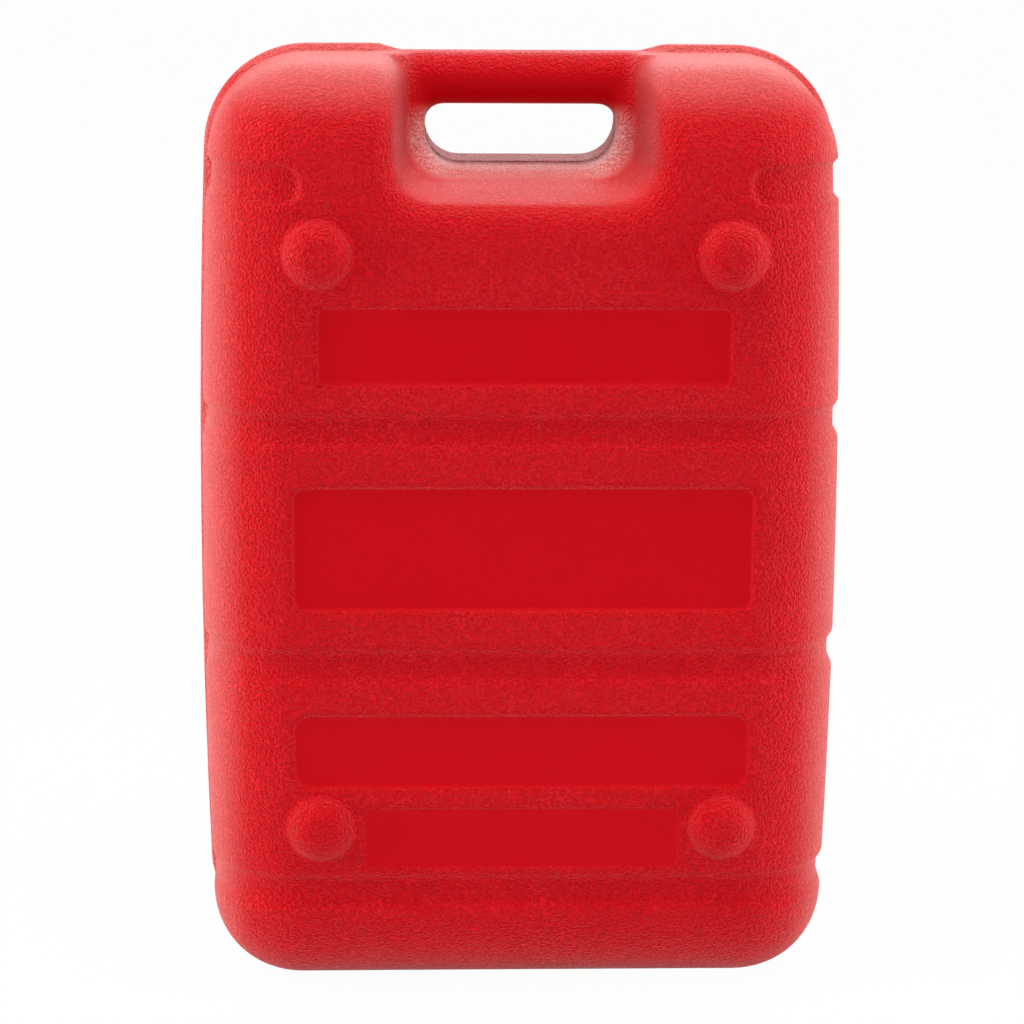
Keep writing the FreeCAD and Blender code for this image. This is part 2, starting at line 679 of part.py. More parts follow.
def grooves(inset):
    cuts = [ring_groove(centre, inset) for centre in GROOVE_CENTRES]
    cuts += [short_groove(side, inset) for side in (-1, 1)]
    return cuts


def tank_skin():
    body = pocketed_form(0.0).cut(grooves(0.0) + [seam_valley(), bar_room(0.0)])
    body = body.fuse(parting_bead()).cut(recesses(0.0))
    return body.fuse([handle_bar(0.0)] + feet(0.0))


def tank_cavity():
    body = pocketed_form(WALL).cut(grooves(WALL) + recesses(WALL) + [bar_room(WALL)])
    return body.fuse([handle_bar(WALL)] + feet(WALL))


def insert_radius():
    return SCREW_RADIUS + THREAD_GAP + SCREW_INSERT_WALL


def above_ground(shape):
    """What stands above Z = 0, with its base as one true plane, flush under the rim."""
    reach = 2 * TANK_LENGTH
    return Part.makeBox(reach, reach, reach, Vector(-reach / 2, -reach / 2, 0)).common(shape)


def tank_shell():
    """The blown shell with its filler neck and the moulded ring that the head is screwed to."""
    shell = tank_skin().cut(tank_cavity())
    neck = cylinder(NECK_RADIUS, WELL_FLOOR_Y - WALL, NECK_TOP_Y, NECK_X)
    neck_pad = cylinder(NECK_RADIUS + NECK_PAD_WIDTH, WELL_FLOOR_Y - WALL, PAD_Y, NECK_X)
    head_ring = cylinder(RING_RADIUS, PAD_Y - RING_DEPTH, PAD_Y, HEAD_X)
    shell = shell.fuse([neck, neck_pad, head_ring])
    neck_bore = cylinder(NECK_RADIUS - NECK_WALL, WELL_FLOOR_Y - 2 * WALL, NECK_TOP_Y + CLEAR, NECK_X)
    head_hole = cylinder(HEAD_HOLE, PAD_Y - RING_DEPTH - CLEAR, PAD_Y + CLEAR, HEAD_X)
    insert_hole = cylinder(insert_radius(), PAD_Y - SCREW_INSERT_LENGTH, PAD_Y + CLEAR,
                           HEAD_X + SCREW_CIRCLE)
    return solid(above_ground(shell.cut([neck_bore, head_hole] + screw_pattern(insert_hole))))


def screw_pattern(shape):
    return round_pattern(shape, HEAD_X, SCREW_COUNT, SCREW_START)


# ---- Filler cap ----
def cap_gasket():
    return ring(NECK_RADIUS, NECK_RADIUS - NECK_WALL, NECK_TOP_Y, CAP_INSIDE_Y, NECK_X)


def filler_cap():
    """The screw cap: ribbed skirt, domed hub for the vent, and the spigot that the baffle hangs on."""
    rim_y = PAD_Y + CAP_FLOOR_GAP
    body = cylinder(CAP_RADIUS, rim_y, CAP_TOP_Y, NECK_X)
    rib = cylinder(CAP_RIB_RADIUS, rim_y, CAP_TOP_Y - CAP_EDGE,
                   NECK_X + CAP_RADIUS - CAP_RIB_RADIUS + CAP_RIB_PROUD)
    body = body.makeChamfer(CAP_EDGE, circle_edges(body, CAP_RADIUS, CAP_TOP_Y))
    body = body.fuse(round_pattern(rib, NECK_X, CAP_RIBS))
    body = body.cut(cylinder(CAP_INSIDE_RADIUS, rim_y - CLEAR, CAP_INSIDE_Y, NECK_X))
    hub = cylinder(HUB_RADIUS, CAP_INSIDE_Y, HUB_TOP_Y, NECK_X)
    hub = hub.makeFillet(HUB_EDGE, circle_edges(hub, HUB_RADIUS, HUB_TOP_Y))
    spigot = cylinder(SPIGOT_RADIUS, SPIGOT_END_Y, CAP_INSIDE_Y + CLEAR, NECK_X)
    lip = cylinder(SPIGOT_RADIUS + BAFFLE_LIP, SPIGOT_END_Y, SPIGOT_END_Y + BAFFLE_LIP, NECK_X)
    body = body.fuse([hub, spigot, lip])
    bore = cylinder(vent_insert_radius(), VENT_SEAT_Y - VENT_INSERT_LENGTH, HUB_TOP_Y + CLEAR, NECK_X)
    drain = cylinder(VENT_RADIUS + LOOSE_GAP, SPIGOT_END_Y - CLEAR, HUB_TOP_Y, NECK_X)
    return solid(body.cut([bore, drain]))


def cap_baffle():
    """The splash disc, which turns freely on the cap's spigot."""
    low = BAFFLE_TOP_Y - LOOSE_GAP - BAFFLE_THICKNESS
    disc = ring(BAFFLE_RADIUS, SPIGOT_RADIUS + LOOSE_GAP, low, low + BAFFLE_THICKNESS, NECK_X)
    hole = cylinder(BAFFLE_HOLE_RADIUS, low - CLEAR, BAFFLE_TOP_Y, NECK_X + BAFFLE_HOLE_CIRCLE)
    return solid(disc.cut(round_pattern(hole, NECK_X, BAFFLE_HOLES)))


# ---- Vent ----
def vent_insert_radius():
    return VENT_RADIUS + THREAD_GAP + VENT_INSERT_WALL


def vent_insert():
    outer = vent_insert_radius() - FIT_GAP
    low = VENT_SEAT_Y - VENT_INSERT_LENGTH
    body = cylinder(outer, low, VENT_SEAT_Y, NECK_X)
    flange = cylinder(outer + VENT_INSERT_FLANGE, HUB_TOP_Y, VENT_SEAT_Y, NECK_X)
    bore = cylinder(VENT_RADIUS + THREAD_GAP, low - CLEAR, VENT_SEAT_Y + CLEAR, NECK_X)
    return solid(body.fuse(flange).cut(bore))


def vent_seal():
    return ring(VENT_WASHER_RADIUS, VENT_RADIUS + THREAD_GAP, VENT_SEAT_Y, VENT_KNOB_Y, NECK_X)


def vent_screw():
    """The fluted knob and its stem, with the air way cut along the stem."""
    top = VENT_KNOB_Y + VENT_KNOB_HEIGHT
    knob = cylinder(VENT_KNOB_RADIUS, VENT_KNOB_Y, top, NECK_X)
    knob = knob.makeFillet(VENT_KNOB_EDGE, circle_edges(knob, VENT_KNOB_RADIUS, top))
    flute = cylinder(VENT_KNOB_FLUTE_RADIUS, VENT_KNOB_Y - CLEAR, top + CLEAR,
                     NECK_X + VENT_KNOB_RADIUS + VENT_KNOB_FLUTE_RADIUS - VENT_KNOB_FLUTE_DEPTH)
    knob = knob.cut(round_pattern(flute, NECK_X, VENT_KNOB_FLUTES))
    stem = cylinder(VENT_RADIUS, VENT_KNOB_Y - VENT_STEM_LENGTH, VENT_KNOB_Y, NECK_X)
    corner = Vector(NECK_X + VENT_RADIUS / 2, VENT_KNOB_Y - VENT_STEM_LENGTH - CLEAR,
                    FITTINGS_Z - VENT_GROOVE_WIDTH / 2)
    air_way = Part.makeBox(VENT_RADIUS, VENT_STEM_LENGTH, VENT_GROOVE_WIDTH, corner)
    return solid(knob.fuse(stem.cut(air_way)))


# ---- Head, its gasket, screws and inserts ----
def head_gasket():
    body = ring(HEAD_RADIUS, HEAD_HOLE, PAD_Y, HEAD_Y, HEAD_X)
    hole = cylinder(SCREW_RADIUS + LOOSE_GAP, PAD_Y - CLEAR, HEAD_Y + CLEAR, HEAD_X + SCREW_CIRCLE)
    return solid(body.cut(screw_pattern(hole)))


def head():
    """The moulded head: flange, spigot, gauge rim, outlet boss, and the bores for what they carry."""
    flange = cylinder(HEAD_RADIUS, HEAD_Y, HEAD_TOP_Y, HEAD_X)
    flange = flange.makeFillet(HEAD_EDGE, circle_edges(flange, HEAD_RADIUS, HEAD_TOP_Y))
    spigot = cylinder(HEAD_HOLE - HEAD_SPIGOT_GAP, HEAD_END_Y, HEAD_Y + CLEAR, HEAD_X)
    rim = cylinder(DIAL_RADIUS + RIM_WALL, HEAD_TOP_Y - CLEAR, RIM_TOP_Y, GAUGE_X)
    boss = cylinder(OUTLET_BOSS_RADIUS, HEAD_TOP_Y - CLEAR, BOSS_TOP_Y, OUTLET_X)
    body = flange.fuse([spigot, rim, boss])
    through = HEAD_END_Y - CLEAR
    cuts = [
        cylinder(DIAL_RADIUS, DIAL_SEAT_Y, RIM_TOP_Y + CLEAR, GAUGE_X),
        cylinder(DIAL_RADIUS + LENS_LEDGE, LENS_SEAL_Y, RIM_TOP_Y + CLEAR, GAUGE_X),
        cylinder(SPINDLE_RADIUS + BEARING_GAP, through, RIM_TOP_Y, GAUGE_X),
        cylinder(ELBOW_SPIGOT + BEARING_GAP, ELBOW_END_Y - LOOSE_GAP, BOSS_TOP_Y + CLEAR, OUTLET_X),
        cylinder(ELBOW_BORE, through, BOSS_TOP_Y, OUTLET_X),
        cylinder(TUBE_RADIUS + FIT_GAP, through, TUBE_TOP_Y, OUTLET_X),
    ]
    for z in rod_heights():
        cuts.append(cylinder(ROD_RADIUS + FIT_GAP, through, HEAD_END_Y + ROD_SOCKET, GAUGE_X, z))
    hole = cylinder(SCREW_RADIUS + LOOSE_GAP, HEAD_Y - CLEAR, HEAD_TOP_Y + CLEAR, HEAD_X + SCREW_CIRCLE)
    return solid(body.cut(cuts + screw_pattern(hole)))


def head_screw():
    """A slotted cheese-head screw, on the circle at zero degrees."""
    x = HEAD_X + SCREW_CIRCLE
    top = HEAD_TOP_Y + SCREW_HEAD_HEIGHT
    shank = cylinder(SCREW_RADIUS, HEAD_TOP_Y - SCREW_LENGTH, HEAD_TOP_Y, x)
    slot = Part.makeBox(4 * SCREW_HEAD_RADIUS, 2 * SCREW_SLOT_DEPTH, SCREW_SLOT_WIDTH,
                        Vector(x - 2 * SCREW_HEAD_RADIUS, top - SCREW_SLOT_DEPTH,
                               FITTINGS_Z - SCREW_SLOT_WIDTH / 2))
    return solid(cylinder(SCREW_HEAD_RADIUS, HEAD_TOP_Y, top, x).cut(slot).fuse(shank))


def screw_insert():
    return ring(insert_radius() - FIT_GAP, SCREW_RADIUS + THREAD_GAP,
                PAD_Y - SCREW_INSERT_LENGTH, PAD_Y, HEAD_X + SCREW_CIRCLE)


# ---- Gauge ----
def rod_heights():
    return (FITTINGS_Z - ROD_OFFSET, FITTINGS_Z + ROD_OFFSET)


def dial_plate():
    return ring(DIAL_RADIUS - FIT_GAP, SPINDLE_RADIUS + LOOSE_GAP, DIAL_SEAT_Y, DIAL_TOP_Y, GAUGE_X)


def pointer():
    """The needle and its hub, pressed on the spindle's tip. It points to the empty mark at rest."""
    top = POINTER_Y + POINTER_THICKNESS
    half = POINTER_WIDTH / 2
    corners = (
        Vector(GAUGE_X + POINTER_HUB / 2, POINTER_Y, FITTINGS_Z - half),
        Vector(GAUGE_X + POINTER_LENGTH, POINTER_Y, FITTINGS_Z),
        Vector(GAUGE_X + POINTER_HUB / 2, POINTER_Y, FITTINGS_Z + half),
        Vector(GAUGE_X - POINTER_HUB, POINTER_Y, FITTINGS_Z),
    )
    needle = Part.Face(Part.makePolygon(corners + corners[:1])).extrude(Vector(0, POINTER_THICKNESS, 0))
    hub = cylinder(POINTER_HUB, POINTER_Y, top, GAUGE_X)
    hole = cylinder(POINTER_SHAFT + FIT_GAP, POINTER_Y - CLEAR, top + CLEAR, GAUGE_X)
    return turned(solid(needle.fuse(hub).cut(hole)), GAUGE_X, EMPTY_ANGLE)


def lens():
    return cylinder(DIAL_RADIUS + LENS_LEDGE - FIT_GAP, LENS_Y, RIM_TOP_Y, GAUGE_X)


def lens_seal():
    return ring(DIAL_RADIUS + LENS_LEDGE - FIT_GAP, DIAL_RADIUS, LENS_SEAL_Y, LENS_Y, GAUGE_X)


def lens_bezel():
    """The snap-on ring that holds the lens down."""
    rim = DIAL_RADIUS + RIM_WALL + FIT_GAP
    outer = rim + BEZEL_WALL
    top = RIM_TOP_Y + BEZEL_HEIGHT
    body = cylinder(outer, RIM_TOP_Y - BEZEL_SKIRT, top, GAUGE_X)
    body = body.makeChamfer(BEZEL_WALL / 2, circle_edges(body, outer, top))
    window = cylinder(DIAL_RADIUS, RIM_TOP_Y - BEZEL_SKIRT - CLEAR, top + CLEAR, GAUGE_X)
    seat = cylinder(rim, RIM_TOP_Y - BEZEL_SKIRT - CLEAR, RIM_TOP_Y, GAUGE_X)
    return solid(body.cut([window, seat]))


def strip_section(y):
    """The strip's cross-section at y, turned as far as the strip is twisted there."""
    half_width = STRIP_WIDTH / 2
    half_thick = STRIP_THICKNESS / 2
    corners = [Vector(GAUGE_X + x, y, FITTINGS_Z + z) for x, z in (
        (-half_width, -half_thick), (half_width, -half_thick),
        (half_width, half_thick), (-half_width, half_thick), (-half_width, -half_thick))]
    slot_y = FOLLOWER_Y + FOLLOWER_THICKNESS / 2
    return turned(Part.makePolygon(corners), GAUGE_X, GAUGE_SWEEP * (y - slot_y) / FLOAT_TRAVEL)


def twist_strip():
    """The spindle: a strip twisted along its length, which the rising float turns, and its two shafts."""
    step = (STRIP_HIGH_Y - STRIP_LOW_Y) / (STRIP_SECTIONS - 1)
    sections = [strip_section(STRIP_LOW_Y + i * step) for i in range(STRIP_SECTIONS)]
    strip = Part.makeLoft(sections, True, False)
    low_collar = cylinder(SPINDLE_COLLAR, STRIP_LOW_Y - COLLAR_HEIGHT, STRIP_LOW_Y, GAUGE_X)
    foot_pin = cylinder(SPINDLE_FOOT, FOOT_PLATE_Y, STRIP_LOW_Y, GAUGE_X)
    high_collar = cylinder(SPINDLE_COLLAR, STRIP_HIGH_Y, STRIP_HIGH_Y + COLLAR_HEIGHT, GAUGE_X)
    shaft = cylinder(SPINDLE_RADIUS, STRIP_HIGH_Y, POINTER_Y, GAUGE_X)
    tip = cylinder(POINTER_SHAFT, STRIP_HIGH_Y, POINTER_Y + POINTER_THICKNESS, GAUGE_X)
    return solid(strip.fuse([low_collar, foot_pin, high_collar, shaft, tip]))


def gauge_float():
    """The float, bored for the strip and the two guide rods, with a seat for the follower."""
    body = cylinder(FLOAT_RADIUS, FLOAT_Y, FLOAT_TOP_Y, GAUGE_X)
    body = body.makeFillet(FLOAT_EDGE, circle_edges(body, FLOAT_RADIUS, FLOAT_Y)
                           + circle_edges(body, FLOAT_RADIUS, FLOAT_TOP_Y))
    cuts = [
        cylinder(FLOAT_BORE, FLOAT_Y - CLEAR, FLOAT_TOP_Y + CLEAR, GAUGE_X),
        cylinder(FOLLOWER_RADIUS + FIT_GAP, FOLLOWER_Y, FLOAT_TOP_Y + CLEAR, GAUGE_X),
    ]
    for z in rod_heights():
        cuts.append(cylinder(ROD_RADIUS + ROD_GAP, FLOAT_Y - CLEAR, FLOAT_TOP_Y + CLEAR, GAUGE_X, z))
    return solid(body.cut(cuts))


def float_follower():
    """The slotted plate in the float that rides on the strip."""
    length = STRIP_WIDTH + 2 * SLOT_GAP
    width = STRIP_THICKNESS + 2 * SLOT_GAP
    slot = Part.makeBox(length, FOLLOWER_THICKNESS + 2 * CLEAR, width,
                        Vector(GAUGE_X - length / 2, FOLLOWER_Y - CLEAR, FITTINGS_Z - width / 2))
    return solid(cylinder(FOLLOWER_RADIUS, FOLLOWER_Y, FLOAT_TOP_Y, GAUGE_X).cut(slot))


def guide_rod(z):
    return cylinder(ROD_RADIUS, FOOT_PLATE_Y, HEAD_END_Y + ROD_SOCKET, GAUGE_X, z)


def frame_foot():
    """The lower bearing of the spindle, on the two guide rods."""
    half_length = FRAME_FOOT_RADIUS
    plate = cylinder(half_length, FOOT_PLATE_Y, FOOT_PLATE_TOP_Y, GAUGE_X)
    keep = Part.makeBox(2 * FRAME_FOOT_HALF_WIDTH, FRAME_FOOT_THICKNESS, 2 * half_length,
                        Vector(GAUGE_X - FRAME_FOOT_HALF_WIDTH, FOOT_PLATE_Y, FITTINGS_Z - half_length))
    cuts = [cylinder(SPINDLE_FOOT + BEARING_GAP, FOOT_PLATE_Y - CLEAR, FOOT_PLATE_TOP_Y + CLEAR, GAUGE_X)]
    for z in rod_heights():
        cuts.append(cylinder(ROD_RADIUS + FIT_GAP, FOOT_PLATE_Y - CLEAR, FOOT_PLATE_TOP_Y + CLEAR,
                             GAUGE_X, z))
    return solid(plate.common(keep).cut(cuts))


# ---- Pick-up ----
def pickup_tube():
    return ring(TUBE_RADIUS, TUBE_RADIUS - TUBE_WALL, TUBE_END_Y, TUBE_TOP_Y, OUTLET_X)


def pickup_screen():
    """The slotted strainer on the tube's end."""
    inner = TUBE_RADIUS + FIT_GAP
    outer = inner + SCREEN_WALL
    cup = cylinder(outer, SCREEN_END_Y, SCREEN_TOP_Y, OUTLET_X)
    bore = cylinder(inner, SCREEN_END_Y + SCREEN_WALL, SCREEN_TOP_Y + CLEAR, OUTLET_X)
    slot_low = SCREEN_END_Y + 2 * SCREEN_WALL
    slot = Part.makeBox(2 * outer, TUBE_END_Y - SCREEN_WALL - slot_low, SCREEN_SLOT_WIDTH,
                        Vector(OUTLET_X, slot_low, FITTINGS_Z - SCREEN_SLOT_WIDTH / 2))
    return solid(cup.cut([bore] + round_pattern(slot, OUTLET_X, SCREEN_SLOTS)))


# ---- Swivelling outlet ----
def outlet_elbow():
    """The swivelling elbow: spigot, flange, upright and leg, bored through both ways."""
    spigot = cylinder(ELBOW_SPIGOT, ELBOW_END_Y, ELBOW_Y, OUTLET_X)
    flange = cylinder(ELBOW_FLANGE, ELBOW_Y, ELBOW_Y + ELBOW_FLANGE_HEIGHT, OUTLET_X)
    upright = cylinder(ELBOW_RADIUS, ELBOW_Y, OUTLET_Y, OUTLET_X)
    ball = Part.makeSphere(ELBOW_RADIUS, Vector(OUTLET_X, OUTLET_Y, FITTINGS_Z))
    leg = outlet_cylinder(ELBOW_RADIUS, OUTLET_X, NIPPLE_X)
    body = spigot.fuse([flange, upright, ball, leg])
    seal_groove = ring(ELBOW_SPIGOT + CLEAR, ELBOW_SPIGOT - SWIVEL_SEAL_GROOVE,
                       SWIVEL_SEAL_Y - SWIVEL_SEAL - LOOSE_GAP, SWIVEL_SEAL_Y + SWIVEL_SEAL + LOOSE_GAP,
                       OUTLET_X)
    cuts = [
        seal_groove,
        cylinder(ELBOW_BORE, ELBOW_END_Y - CLEAR, OUTLET_Y, OUTLET_X),
        Part.makeSphere(ELBOW_BORE, Vector(OUTLET_X, OUTLET_Y, FITTINGS_Z)),
        outlet_cylinder(ELBOW_BORE, OUTLET_X, NIPPLE_X + CLEAR),
        outlet_cylinder(NIPPLE_SHANK + THREAD_GAP, SHANK_END_X - LOOSE_GAP, NIPPLE_X + CLEAR),
    ]
    return solid(body.cut(cuts))


def swivel_seal():
    middle = (ELBOW_SPIGOT + BEARING_GAP + ELBOW_SPIGOT - SWIVEL_SEAL_GROOVE) / 2
    return Part.makeTorus(middle, SWIVEL_SEAL - FIT_GAP, Vector(OUTLET_X, SWIVEL_SEAL_Y, FITTINGS_Z),
                          Vector(0, 1, 0))


def elbow_retainer():
    """The notched ring on the boss whose lip keeps the elbow's flange down."""
    inner = OUTLET_BOSS_RADIUS + FIT_GAP
    outer = inner + RETAINER_WALL
    lip_y = ELBOW_Y + ELBOW_FLANGE_HEIGHT + LOOSE_GAP
    top = lip_y + RETAINER_LIP
    low = BOSS_TOP_Y - RETAINER_GRIP
    body = cylinder(outer, low, top, OUTLET_X)
    notch = cylinder(RETAINER_WALL / 2, low - CLEAR, top + CLEAR, OUTLET_X + outer)
    seat = cylinder(inner, low - CLEAR, lip_y, OUTLET_X)
    mouth = cylinder(ELBOW_RADIUS + LOOSE_GAP, low, top + CLEAR, OUTLET_X)
    return solid(body.cut([seat, mouth] + round_pattern(notch, OUTLET_X, RETAINER_NOTCHES)))


def outlet_nipple():
    """The nipple that the hose's coupler pushes on to, with its seat for the check valve."""
    shank = outlet_cylinder(NIPPLE_SHANK, SHANK_END_X, NIPPLE_X)
    hexagon = hex_prism(NIPPLE_HEX, NIPPLE_X, NOSE_X)
    nose = outlet_cylinder(NIPPLE_RADIUS, NOSE_X, NOSE_X + NIPPLE_LENGTH)
    cone = Part.makeCone(NIPPLE_RADIUS, NIPPLE_RADIUS - NIPPLE_NOSE, NIPPLE_NOSE,
                         Vector(NOSE_X + NIPPLE_LENGTH, OUTLET_Y, FITTINGS_Z), Vector(1, 0, 0))
    bore = outlet_cylinder(NIPPLE_BORE, SHANK_END_X - CLEAR, POPPET_SEAT_X)
    mouth = outlet_cylinder(NIPPLE_MOUTH, POPPET_SEAT_X - CLEAR, NIPPLE_END_X + CLEAR)
    return solid(shank.fuse([hexagon, nose, cone]).cut([bore, mouth]))


def hex_prism(across_flats, x_low, x_high):
    reach = across_flats / math.sqrt(3.0)
    corners = []
    for i in range(7):
        angle = math.radians(60.0 * i)
        y = OUTLET_Y + reach * math.cos(angle)
        corners.append(Vector(x_low, y, FITTINGS_Z + reach * math.sin(angle)))
    return Part.Face(Part.makePolygon(corners)).extrude(Vector(x_high - x_low, 0, 0))


def check_poppet():
    """The check valve's head, its stem through the nipple's mouth and its tail inside the spring."""
    head_shape = outlet_cylinder(POPPET_HEAD, POPPET_BACK_X, POPPET_SEAL_X)
    stem = outlet_cylinder(POPPET_STEM, POPPET_SEAL_X, NIPPLE_END_X + POPPET_STEM_PROUD)
    tail = outlet_cylinder(POPPET_STEM, POPPET_BACK_X - POPPET_TAIL_LENGTH, POPPET_BACK_X)
    return solid(head_shape.fuse([stem, tail]))


def poppet_seal():
    washer = outlet_cylinder(POPPET_HEAD, POPPET_SEAL_X, POPPET_SEAT_X)
    hole = outlet_cylinder(POPPET_STEM + FIT_GAP, POPPET_SEAL_X - CLEAR, POPPET_SEAT_X + CLEAR)
    return solid(washer.cut(hole))


def spring_seat():
    """The pierced disc in the shank's end that the spring stands on."""
    disc = outlet_cylinder(NIPPLE_BORE - FIT_GAP, SHANK_END_X, SPRING_SEAT_X)
    centre = outlet_cylinder(SPRING_SEAT_HOLE, SHANK_END_X - CLEAR, SPRING_SEAT_X + CLEAR)
    ports = []
    for i in range(SPRING_SEAT_PORTS):
        port = outlet_cylinder(SPRING_SEAT_PORT_RADIUS, SHANK_END_X - CLEAR, SPRING_SEAT_X + CLEAR)
        port.translate(Vector(0, SPRING_RADIUS, 0))
        port.rotate(Vector(0, OUTLET_Y, FITTINGS_Z), Vector(1, 0, 0), i * 360.0 / SPRING_SEAT_PORTS)
        ports.append(port)
    return solid(disc.cut([centre] + ports))


def poppet_spring():
    length = POPPET_BACK_X - SPRING_SEAT_X - 2 * SPRING_WIRE
    helix = Part.makeHelix(length / SPRING_TURNS, length, SPRING_RADIUS)
    start = Vector(SPRING_RADIUS, 0, 0)
    profile = Part.Wire(Part.makeCircle(SPRING_WIRE, start, Vector(0, 1, 0)))
    coil = Part.Wire(helix.Edges).makePipeShell([profile], True, True)
    coil.Placement = Placement(Vector(SPRING_SEAT_X + SPRING_WIRE, OUTLET_Y, FITTINGS_Z),
                               Rotation(Vector(0, 1, 0), 90))
    return solid(coil)


# ---- The assembly ----
def assembly():
    pieces = {
        "tank_shell": tank_shell(),
        "cap_gasket": cap_gasket(),
        "filler_cap": filler_cap(),
        "cap_baffle": cap_baffle(),
        "vent_insert": vent_insert(),
        "vent_seal": vent_seal(),
        "vent_screw": vent_screw(),
        "head_gasket": head_gasket(),
        "head": head(),
        "dial_plate": dial_plate(),
        "pointer": pointer(),
        "lens_seal": lens_seal(),
        "lens": lens(),
        "lens_bezel": lens_bezel(),
        "twist_strip": twist_strip(),
        "gauge_float": gauge_float(),
        "float_follower": float_follower(),
        "frame_foot": frame_foot(),
        "pickup_tube": pickup_tube(),
        "pickup_screen": pickup_screen(),
        "outlet_elbow": outlet_elbow(),
        "swivel_seal": swivel_seal(),
        "elbow_retainer": elbow_retainer(),
        "outlet_nipple": outlet_nipple(),
        "check_poppet": check_poppet(),
        "poppet_seal": poppet_seal(),
        "poppet_spring": poppet_spring(),
        "spring_seat": spring_seat(),
    }
    for i, z in enumerate(rod_heights()):
        pieces["guide_rod_%d" % (i + 1)] = guide_rod(z)
    for i, screw in enumerate(screw_pattern(head_screw())):
        pieces["head_screw_%d" % (i + 1)] = screw
    for i, insert in enumerate(screw_pattern(screw_insert())):
        pieces["screw_insert_%d" % (i + 1)] = insert
    return pieces


os.makedirs("parts", exist_ok=True)
for name, shape in assembly().items():
    shape.exportStep("parts/%s.step" % name)
    print("%-16s %12.1f mm3" % (name, shape.Volume))
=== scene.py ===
"""Outboard fuel tank: the finish of the moulded tank and of its fittings.

Metres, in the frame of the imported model. X runs across the tank, Y through its depth and Z along it.
The underside with its four feet faces -Y, and the deck with the fittings faces +Y.
"""
import math

import bmesh
import bpy
import numpy as np
from mathutils import Matrix, Quaternion, Vector


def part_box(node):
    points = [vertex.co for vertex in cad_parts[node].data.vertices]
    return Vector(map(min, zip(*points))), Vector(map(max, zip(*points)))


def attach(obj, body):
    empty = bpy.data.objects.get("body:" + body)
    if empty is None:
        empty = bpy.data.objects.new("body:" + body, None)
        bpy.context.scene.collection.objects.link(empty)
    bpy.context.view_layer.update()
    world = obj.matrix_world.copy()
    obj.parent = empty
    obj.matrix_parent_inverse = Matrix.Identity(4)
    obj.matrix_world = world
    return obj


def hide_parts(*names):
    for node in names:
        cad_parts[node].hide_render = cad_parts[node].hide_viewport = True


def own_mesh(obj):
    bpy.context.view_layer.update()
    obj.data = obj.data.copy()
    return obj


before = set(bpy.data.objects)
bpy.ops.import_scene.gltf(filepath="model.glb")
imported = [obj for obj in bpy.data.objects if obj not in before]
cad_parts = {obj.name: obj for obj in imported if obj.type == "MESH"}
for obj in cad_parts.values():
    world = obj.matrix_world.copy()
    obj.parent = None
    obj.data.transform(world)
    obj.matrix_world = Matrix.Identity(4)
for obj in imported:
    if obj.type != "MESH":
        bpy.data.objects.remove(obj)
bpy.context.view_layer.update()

# ---- Places on the tank ----
FACE_Y = 0.098              # from the parting plane to the underside, and to the deck
SEAM_Y = 0.004              # middle of the raised rim, where the two mould halves meet
FITTINGS_Z = 0.327
NECK_X = -0.062
HEAD_X = 0.060

# Recessed panels: half width, lower edge, upper edge, corner radius
UNDERSIDE_PANELS = (
    (0.1025, 0.3240, 0.3615, 0.004),
    (0.1155, 0.2080, 0.2705, 0.006),
    (0.1155, 0.1145, 0.1515, 0.008),
    (0.0800, 0.0715, 0.1020, 0.003),
)
DECK_PANELS = (
    (0.1155, 0.1960, 0.2500, 0.006),
    (0.1155, 0.0760, 0.1560, 0.006),
)
PANEL_REACH = 0.006         # how far a recessed panel's smooth finish reaches towards the body
PANEL_EDGE = 0.0012         # width of that finish's soft edge

# Stiffening grooves: lower edge, upper edge
GROOVES = ((0.046, 0.070), (0.166, 0.191), (0.288, 0.313))
SHORT_GROOVE = (0.410, 0.436)
SHORT_GROOVE_START = 0.106  # from the centre plane to its rounded end

FOOT_HALF_SPACING = 0.103
FOOT_HEIGHTS = (0.0924, 0.3889)
FOOT_RADIUS = 0.017

# Hand recess on each face, at its mouth
RECESS_HALF_WIDTH = 0.066
RECESS_LOW = 0.412
RECESS_CORNER = 0.027

# Finger gap through the wall between the hand recesses
GAP_HALF_WIDTH = 0.0495
GAP_LOW = 0.4216            # its floor at the underside end of the wall
GAP_RISE = 0.006            # how much higher the floor is at the deck end
GAP_CORNER = 0.018
GAP_OPEN = 0.200            # the wear follows the gap's lower part only, so its outline is left open above
GAP_WALL_HALF_DEPTH = 0.018
BAR_HALF_LENGTH = 0.050

# ---- Filler thread ----
THREAD_PITCH = 0.006
THREAD_RIDGE = 0.0013       # radius of the ridge
THREAD_Y = 0.078            # where the neck's thread starts
THREAD_STEPS = 64           # points in one turn
THREAD_RUN_OUT = 0.07       # share of its length over which the ridge fades out at each end
NECK_THREAD_RADIUS = 0.03285
NECK_THREAD_TURNS = 1.5
CAP_THREAD_RADIUS = 0.03445
CAP_THREAD_TURNS = 1.2

# ---- Gauge ----
DIAL_CENTRE = Vector((0.045, 0.0808, FITTINGS_Z))
DIAL_BORDER_INSIDE = (0.0148, 0.0149)
DIAL_BORDER_OUTSIDE = (0.0152, 0.0153)
EMPTY_ANGLE = math.radians(-135.0)
GAUGE_SWEEP = math.radians(270.0)
INK_THICKNESS = 0.0002
TICK_COUNT = 9
TICK_RADIUS = 0.0144        # to the ticks' outer ends
LONG_TICK = (0.0022, 0.0007)    # length, width
SHORT_TICK = (0.0013, 0.0004)
NUMBER_HEIGHT = 0.0042
NUMBER_RADIUS = 0.0092
NUMBER_BOLDNESS = 0.0001

